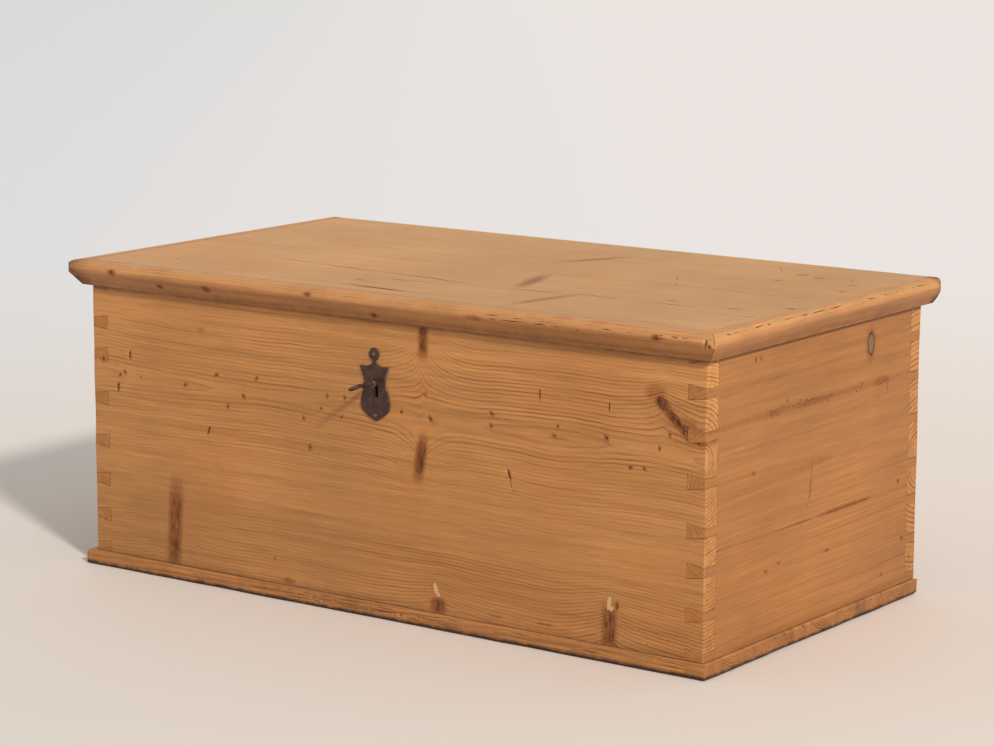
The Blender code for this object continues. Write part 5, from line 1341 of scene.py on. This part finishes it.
def base_radius(axes, place):
    """The bottom's lower edges are rotted round, its upper ones only worn."""
    if 2 in axes and place.z < BASE_LOW.z + ROTTED_HEIGHT:
        return ROTTED_RADIUS * (0.8 + 0.6 * noise.noise(place * ROT_SCALE))
    size = bpy.context.scene.chest_pine.edge_radius * BASE_WEAR
    return size * (0.75 + 0.9 * max(-0.4, edge_noise(axes, place, 7.0)))


def base_dirt_and_shade(place):
    """Dirt all over the bottom planks, and painted contact shadow along their lower edges."""
    # Painted contact shadow where the bottom's lower edges meet the floor.
    low = max(0.0, 1 - (place.z - BASE_LOW.z) / BASE_SHADE_HEIGHT)
    return 0.20 + 0.45 * max(0.0, noise.noise(place * BASE_DIRT_SCALE)) + BASE_UNDERSIDE_SHADE * low


def face_work(face, board, step):
    under_lid = ((MOULDING_LOW.z - FINE_BELOW_LID, MOULDING_LOW.z),) if face.second == 2 else ()
    return Work(face, step, step, fine_ranges(board, 0), fine_ranges(board, 1, under_lid))


def let_in_knots(name, face, marks, body, rise=KNOT_RISE):
    """Small dark knots set into a face, and its wide oval ones as a piece of their own."""
    points = []
    for index, (along, up, size) in enumerate(marks.pins):
        lean = 2.1 * noise.cell(Vector((index * 1.7, 3.0, 0)))
        points.append((face.at(along, up, rise - KNOT_THICKNESS),
                       (size * PIN_ALONG, size * PIN_ACROSS, KNOT_THICKNESS), face.turn(lean)))
    dark = material_named("pin_knot", knot_material, PIN_DARK, PIN_LIGHT)
    add_knots(name, points, body, {**PIN_KNOT, "Material": dark})
    if marks.ovals:
        points = [(face.at(along, up, rise - KNOT_THICKNESS), (half, tall, KNOT_THICKNESS), face.turn())
                  for along, up, half, tall in marks.ovals]
        pale = material_named("oval_knot", knot_material, OVAL_DARK, OVAL_LIGHT, heart=-0.3, rim=0.56,
                              rim_share=0.95)
        add_knots(f"{name}_oval", points, body, {**OVAL_KNOT, "Material": pale})


def add_knots(name, points, body, inputs):
    """One piece with a knot on every point."""
    mesh = run_nodes(shared("pin_knots", knot_tree), marked_points(f"{name}_points", points), name, inputs)
    for vert in mesh.vertices:
        vert.co.z = min(vert.co.z, LID_TOP - BELOW_TOP)
    mesh.shade_smooth()
    obj = link(name, mesh)
    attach(obj, body)


def carcass_piece(node, face, board, marks, step, ends, material):
    """One board of the walls, with the cracks and holes of the face that it shows."""
    worked_piece(node, "chest", board, (face_work(face, board, step), *ends), material,
                 CHEST_LOW, CHEST_HIGH, carcass_radius, tools=marks_cutters(node, face, marks),
                 dirt_and_shade=carcass_dirt_and_shade)


class FrontBoard(bpy.types.Operator):
    """Make the front board with its rings, spike knots, slits and dovetails"""
    bl_idname = "chest.front_board"
    bl_label = "Front board"

    def execute(self, context):
        carcass_piece("front_board", FRONT, FRONT_PINE, FRONT_MARKS, FACE_STEP, LONG_BOARD_ENDS,
                      wood("front_pine_wood"))
        let_in_knots("front_pin_knots", FRONT, FRONT_MARKS, "chest")
        return {"FINISHED"}


class SidePlanks(bpy.types.Operator):
    """Make the two planks of each side with their worm-eaten band, cracks and pins"""
    bl_idname = "chest.side_planks"
    bl_label = "Side planks"

    def execute(self, context):
        for side, face, board, marks in (("right", RIGHT, RIGHT_PINE, RIGHT_MARKS),
                                         ("left", LEFT, LEFT_PINE, LEFT_MARKS)):
            for part in ("lower", "upper"):
                carcass_piece(f"{side}_side_{part}_plank", face, board, marks, SIDE_STEP,
                              SIDE_PLANK_ENDS, wood("side_pine_wood"))
            let_in_knots(f"{side}_pin_knots", face, marks, "chest")
        return {"FINISHED"}


class BackBoard(bpy.types.Operator):
    """Make the plain back board"""
    bl_idname = "chest.back_board"
    bl_label = "Back board"

    def execute(self, context):
        carcass_piece("back_board", BACK, BACK_PINE, BACK_MARKS, BACK_STEP, LONG_BOARD_ENDS,
                      wood("front_pine_wood"))
        let_in_knots("back_pin_knots", BACK, BACK_MARKS, "chest")
        return {"FINISHED"}


class BottomPlanks(bpy.types.Operator):
    """Make the three bottom planks, whose rough ends stand proud of the walls"""
    bl_idname = "chest.bottom_planks"
    bl_label = "Bottom planks"

    def execute(self, context):
        for part in ("front", "middle", "back"):
            node = f"bottom_{part}_plank"
            low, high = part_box(node)
            board = BASE_PINE._replace(heart=(low.y + high.y) / 2, seed=BASE_PINE.seed + low.y * 9)
            tools = marks_cutters(node, BASE_FRONT, BASE_MARKS) if part == "front" else ()
            worked_piece(node, "chest", board, BASE_WORKS, wood("base_pine_wood"), BASE_LOW,
                         Vector((BASE_HIGH.x, BASE_BACK, BASE_HIGH.z)), base_radius, BASE_RIPPLE, tools,
                         base_dirt_and_shade)
        return {"FINISHED"}


class LidBoards(bpy.types.Operator):
    """Make the lid's two boards with their long crack, knots and worn top"""
    bl_idname = "chest.lid_boards"
    bl_label = "Lid boards"

    def execute(self, context):
        high = Vector((LID_HIGH.x, LID_BACK, LID_TOP))
        for part, heart in (("front", LID_PINE.heart), ("back", LID_BACK_HEART)):
            node = f"lid_{part}_board"
            board = LID_PINE._replace(heart=heart, seed=LID_PINE.seed + heart)
            worked_piece(node, "lid", board, (face_work(TOP, board, LID_STEP),),
                         wood("lid_pine_wood"), LID_LOW, high, lid_radius, LID_RIPPLE,
                         marks_cutters(node, TOP, LID_MARKS))
        let_in_knots("lid_pin_knots", TOP, LID_MARKS, "lid", rise=0.0)
        return {"FINISHED"}


def bevelled(bm, width, angle, segments=2):
    """Break every edge that is sharper than an angle."""
    sharp = [edge for edge in bm.edges
             if len(edge.link_faces) == 2 and edge.calc_face_angle(0.0) > radians(angle)]
    bmesh.ops.bevel(bm, geom=sharp, offset=width, offset_type="OFFSET", segments=segments, profile=0.5,
                    affect="EDGES", clamp_overlap=True)


def moulding_dirt_and_shade(place, low, side):
    """Dirt in patches, darker under the nose and towards the front moulding's left end, and painted shade at
    the right moulding's rear end, which turns away from the lamp.
    """
    under = max(0.0, 1 - (place.z - low.z) / UNDER_NOSE)
    end = 0.0
    if side == "front":
        end = max(0.0, 1 - (place.x - low.x) / FRONT_END_DARKER)
    elif side == "right":
        # Painted shade on the rear end, which turns away from the lamp.
        end = max(0.0, 1 - (LID_REAR - place.y) / RIGHT_END_SHADE)
    patches = max(0.0, noise.noise(place * MOULDING_DIRT_SCALE))
    return min(2.0, 0.10 + 0.27 * under + 0.18 * patches + 0.8 * end)


class Mouldings(bpy.types.Operator):
    """Make the lid's three mouldings, dented along the nose and mitred at the front corners"""
    bl_idname = "chest.mouldings"
    bl_label = "Lid mouldings"

    def execute(self, context):
        for side, board, material in (
                ("front", MOULDING_PINE, wood("moulding_wood_pine")),
                ("left", SIDE_MOULDING_PINE, wood("side_moulding_wood_pine")),
                ("right", SIDE_MOULDING_PINE, wood("side_moulding_wood_pine"))):
            node = f"lid_{side}_moulding"
            bm = merged_copy(node)
            low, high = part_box(node)
            bevelled(bm, MOULDING_BEVEL, 22)
            lattice(bm, board.along, even(low[board.along], high[board.along], MOULDING_STEP))
            lattice(bm, 2, even(low.z, high.z, MOULDING_RISE_STEP))
            bmesh.ops.remove_doubles(bm, verts=bm.verts, dist=MERGE_DISTANCE)
            bm.normal_update()
            wear, grime = [], []
            for vert in bm.verts:
                place, outward = vert.co.copy(), vert.normal.copy()
                nose = max(0.0, 1 - abs(place.z - (low.z + NOSE_HEIGHT)) / NOSE_HALF_HEIGHT)
                dent = max(0.0, noise.noise(place * DENT_SCALE + Vector((7, 0, 0)))) * MOULDING_DENT * nose
                ripple = MOULDING_RIPPLE * (0.5 + 0.5 * noise.noise(place * MOULDING_RIPPLE_SCALE))
                if abs(outward.z) < 0.9:
                    vert.co -= outward * (dent + ripple)
                above = place.z - low.z - MOULDING_WEAR_HEIGHT
                wear.append(min(1.0, 1.3 * max(0.0, above / MOULDING_WEAR_DEPTH)))
                grime.append(moulding_dirt_and_shade(place, low, side))
            mesh = mesh_from(bm, f"{node}_pine", material)
            set_values(mesh, "grime", grime)
            set_values(mesh, "wear", wear)
            obj = link(f"{node}_pine", mesh)
            if side in MOULDING_MARKS:
                for tool in marks_cutters(node, *MOULDING_MARKS[side]):
                    cut(obj, tool)
            smooth(obj.data, MOULDING_SMOOTH_ANGLE)
            figure_values(board, obj.data)
            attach(obj, "lid")
            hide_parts(node)
        return {"FINISHED"}


def forged(node, body, material, bevel, step, hammer, voxel=0.0):
    """A forged iron piece: its solid with broken edges and a hammered skin."""
    bm = merged_copy(node)
    low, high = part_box(node)
    if bevel:
        bevelled(bm, bevel, 30)
    for axis in range(3):
        if high[axis] - low[axis] > step * 2:
            lattice(bm, axis, even(low[axis], high[axis], step))
    name = f"{node}_forged"
    mesh = mesh_from(bm, name)
    obj = link(name, mesh)
    if voxel:
        modifier = obj.modifiers.new("forge", "REMESH")
        modifier.mode = "VOXEL"
        modifier.voxel_size = voxel
        modifier.use_smooth_shade = True
        soft = obj.modifiers.new("soft", "CORRECTIVE_SMOOTH")
        soft.iterations = 4
        soft.use_only_smooth = True
        mesh = evaluated_mesh(obj)
        obj.modifiers.clear()
        obj.data = mesh
        mesh.name = name
    normals = [vert.normal.copy() for vert in mesh.vertices]
    wear = []
    for vert, normal in zip(mesh.vertices, normals):
        beaten = (0.5 + 0.5 * noise.noise(vert.co * HAMMER_SCALES[0])
                  + 0.25 * noise.noise(vert.co * HAMMER_SCALES[1]))
        vert.co -= normal * hammer * max(0.0, beaten)
        # Rounded places are marked for paler rubbed metal, which is also a painted highlight along the edges.
        flat = max(abs(normal.x), abs(normal.y), abs(normal.z))
        wear.append(min(1.0, max(0.0, (FLAT_IRON - flat) * 6)))
    set_values(mesh, "wear", wear)
    mesh.materials.clear()
    mesh.materials.append(material)
    smooth(mesh, IRON_SMOOTH_ANGLE)
    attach(obj, body)
    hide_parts(node)


class Escutcheon(bpy.types.Operator):
    """Make the forged keyhole plate with its two nails"""
    bl_idname = "chest.escutcheon"
    bl_label = "Keyhole plate"

    def execute(self, context):
        plate = material_named("plate_iron", iron_material, 0.7, 0.8)
        forged("escutcheon", "chest", plate, bevel=0.00045, step=0.0022, hammer=0.00022)
        # The nails' iron is four times brighter: rubbed metal, and a painted highlight on their heads.
        rubbed_and_highlit = material_named("plate_nail_iron", iron_material, 0.2, metallic=0.8, lift=4.0)
        dress_nodes(("escutcheon_upper_nail", "escutcheon_lower_nail"), rubbed_and_highlit)
        return {"FINISHED"}


class Key(bpy.types.Operator):
    """Make the forged key that stands in the lock"""
    bl_idname = "chest.key"
    bl_label = "Key"

    def execute(self, context):
        forged("key", "key", material_named("key_rust", iron_material, 1.1, 0.5),
               bevel=0.0, step=0.01, hammer=0.00012, voxel=0.00045)
        return {"FINISHED"}


def dress_nodes(nodes, material):
    """Give CAD pieces that keep their shape a better material."""
    for node in nodes:
        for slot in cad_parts[node].material_slots:
            slot.material = material


class Fittings(bpy.types.Operator):
    """Give the hinges, lock works, screws and nails their iron"""
    bl_idname = "chest.fittings"
    bl_label = "Hinges, lock and screws"

    def execute(self, context):
        hinges = [f"{side}_hinge_{part}" for side in ("left", "right")
                  for part in ("strap", "back_leaf", "pin")]
        nails = [f"{kind}_{index}" for kind, count in (("strap_screw", 6), ("back_leaf_screw", 4),
                                                       ("staple_screw", 2), ("lock_screw", 4),
                                                       ("bottom_nail", 10))
                 for index in range(1, count + 1)]
        dress_nodes(hinges, material_named("hinge_black_iron", iron_material, 0.5))
        dress_nodes(nails, material_named("old_nail_iron", iron_material, 0.9))
        dress_nodes(("lock_plate", "drill_pin", "left_bolt_guide", "right_bolt_guide", "bolt_spring",
                     "lock_bolt", "lid_staple"), material_named("lock_dark_iron", iron_material, 0.4))
        return {"FINISHED"}


CAMERA_PLACE = (2.5151, -3.4846, 1.0796)
CAMERA_YAW = 0.6259
CAMERA_PITCH = 0.1802
CAMERA_ROLL = 0.0029
SENSOR = 36.0
LAMP_DIRECTION = Vector((0.75, -0.405, 0.525))
LAMP_DISTANCE = 6.0
LIGHT_SIDE = (0.810, 0.586, 0.0)
SHADE_TINT = (0.82, 0.89, 0.93)
BACKDROP = (0.82, 0.80, 0.79)
FLOOR_HALF = 60.0


class Stage(bpy.types.Operator):
    """Set the floor, the lamp, the even light and the camera"""
    bl_idname = "chest.stage"
    bl_label = "Stage"

    def execute(self, context):
        settings = context.scene.chest_stage
        bm = bmesh.new()
        bmesh.ops.create_grid(bm, x_segments=8, y_segments=8, size=FLOOR_HALF)
        material, tree, shader, place = new_material("pale_floor_paint")
        away = vectors(tree, "LENGTH", {0: place}, "Value")
        uneven = times(tree, cloud(tree, place, 0.8, 2.0), 0.5)
        share = ramp(tree, maths(tree, "ADD", away, uneven), 0.9, 3.6)
        colour = blend(tree, share, settings.near_floor, settings.far_floor)
        # Painted shade: the floor grows darker and cooler towards the left, away from the lamp.
        aside = ramp(tree, vectors(tree, "DOT_PRODUCT", {0: place, 1: LIGHT_SIDE}, "Value"), -2.4, 0.7)
        colour = blend(tree, aside, tinted(tree, colour, SHADE_TINT), colour)
        feed(tree, shader, {"Base Color": colour, "Roughness": 0.75})
        mesh = mesh_from(bm, "pale_floor", material)
        link("pale_floor", mesh)

        lamp = bpy.data.lights.new("soft_lamp", "SUN")
        lamp.energy = settings.lamp_strength
        lamp.angle = settings.lamp_angle
        holder = link("soft_lamp", lamp)
        holder.location = LAMP_DIRECTION.normalized() * LAMP_DISTANCE
        holder.rotation_euler = LAMP_DIRECTION.to_track_quat("Z", "Y").to_euler()

        world = bpy.data.worlds.new("even_light")
        world.use_nodes = True
        sky = world.node_tree
        sky.nodes.clear()
        path = sky.nodes.new("ShaderNodeLightPath").outputs
        seen = maths(sky, "MAXIMUM", path["Is Camera Ray"],
                     maths(sky, "MAXIMUM", path["Is Glossy Ray"], path["Is Transmission Ray"]))
        light = add_node(sky, "ShaderNodeBackground", {"Color": (1, 1, 1), "Strength": settings.ambient})
        shown = add_node(sky, "ShaderNodeBackground", {"Color": BACKDROP, "Strength": 1.0})
        mixed = add_node(sky, "ShaderNodeMixShader", {0: seen, 1: light, 2: shown})
        feed(sky, sky.nodes.new("ShaderNodeOutputWorld"), {"Surface": mixed})
        context.scene.world = world

        camera = bpy.data.cameras.new("photo_camera")
        camera.lens = settings.lens
        camera.sensor_width = SENSOR
        camera.sensor_fit = "HORIZONTAL"
        holder = link("photo_camera", camera)
        forward = Vector((-sin(CAMERA_YAW) * cos(CAMERA_PITCH), cos(CAMERA_YAW) * cos(CAMERA_PITCH),
                          -sin(CAMERA_PITCH)))
        right = Vector((cos(CAMERA_YAW), sin(CAMERA_YAW), 0))
        up = right.cross(forward)
        turned = right * cos(CAMERA_ROLL) + up * sin(CAMERA_ROLL)
        upright = up * cos(CAMERA_ROLL) - right * sin(CAMERA_ROLL)
        holder.matrix_world = Matrix.Translation(CAMERA_PLACE) @ Matrix(
            (turned, upright, -forward)).transposed().to_4x4()
        context.scene.camera = holder
        context.scene.view_settings.view_transform = "Standard"
        return {"FINISHED"}


STEPS = (FrontBoard, SidePlanks, BackBoard, BottomPlanks, LidBoards, Mouldings, Escutcheon, Key,
         Fittings, Stage)


class ChestPanel(bpy.types.Panel):
    """Lists the pieces of the chest"""
    bl_idname = "VIEW3D_PT_chest"
    bl_label = "Pine Chest"
    bl_space_type = "VIEW_3D"
    bl_region_type = "UI"
    bl_category = "Chest"

    def draw(self, context):
        for settings in (context.scene.chest_pine, context.scene.chest_iron, context.scene.chest_stage):
            box = self.layout.box()
            for name in settings.bl_rna.properties.keys():
                if name not in ("rna_type", "name"):
                    box.prop(settings, name)
        for step in STEPS:
            self.layout.operator(step.bl_idname)


CLASSES = (PineSettings, IronSettings, StageSettings, *STEPS, ChestPanel)


def register():
    for item in CLASSES:
        bpy.utils.register_class(item)
    bpy.types.Scene.chest_pine = bpy.props.PointerProperty(type=PineSettings)
    bpy.types.Scene.chest_iron = bpy.props.PointerProperty(type=IronSettings)
    bpy.types.Scene.chest_stage = bpy.props.PointerProperty(type=StageSettings)


def unregister():
    del bpy.types.Scene.chest_stage
    del bpy.types.Scene.chest_iron
    del bpy.types.Scene.chest_pine
    for item in reversed(CLASSES):
        bpy.utils.unregister_class(item)


def main():
    register()
    bpy.ops.chest.stage()
    bpy.ops.chest.front_board()
    bpy.ops.chest.side_planks()
    bpy.ops.chest.back_board()
    bpy.ops.chest.bottom_planks()
    bpy.ops.chest.lid_boards()
    bpy.ops.chest.mouldings()
    bpy.ops.chest.escutcheon()
    bpy.ops.chest.key()
    bpy.ops.chest.fittings()


if __name__ == "__main__":
    main()
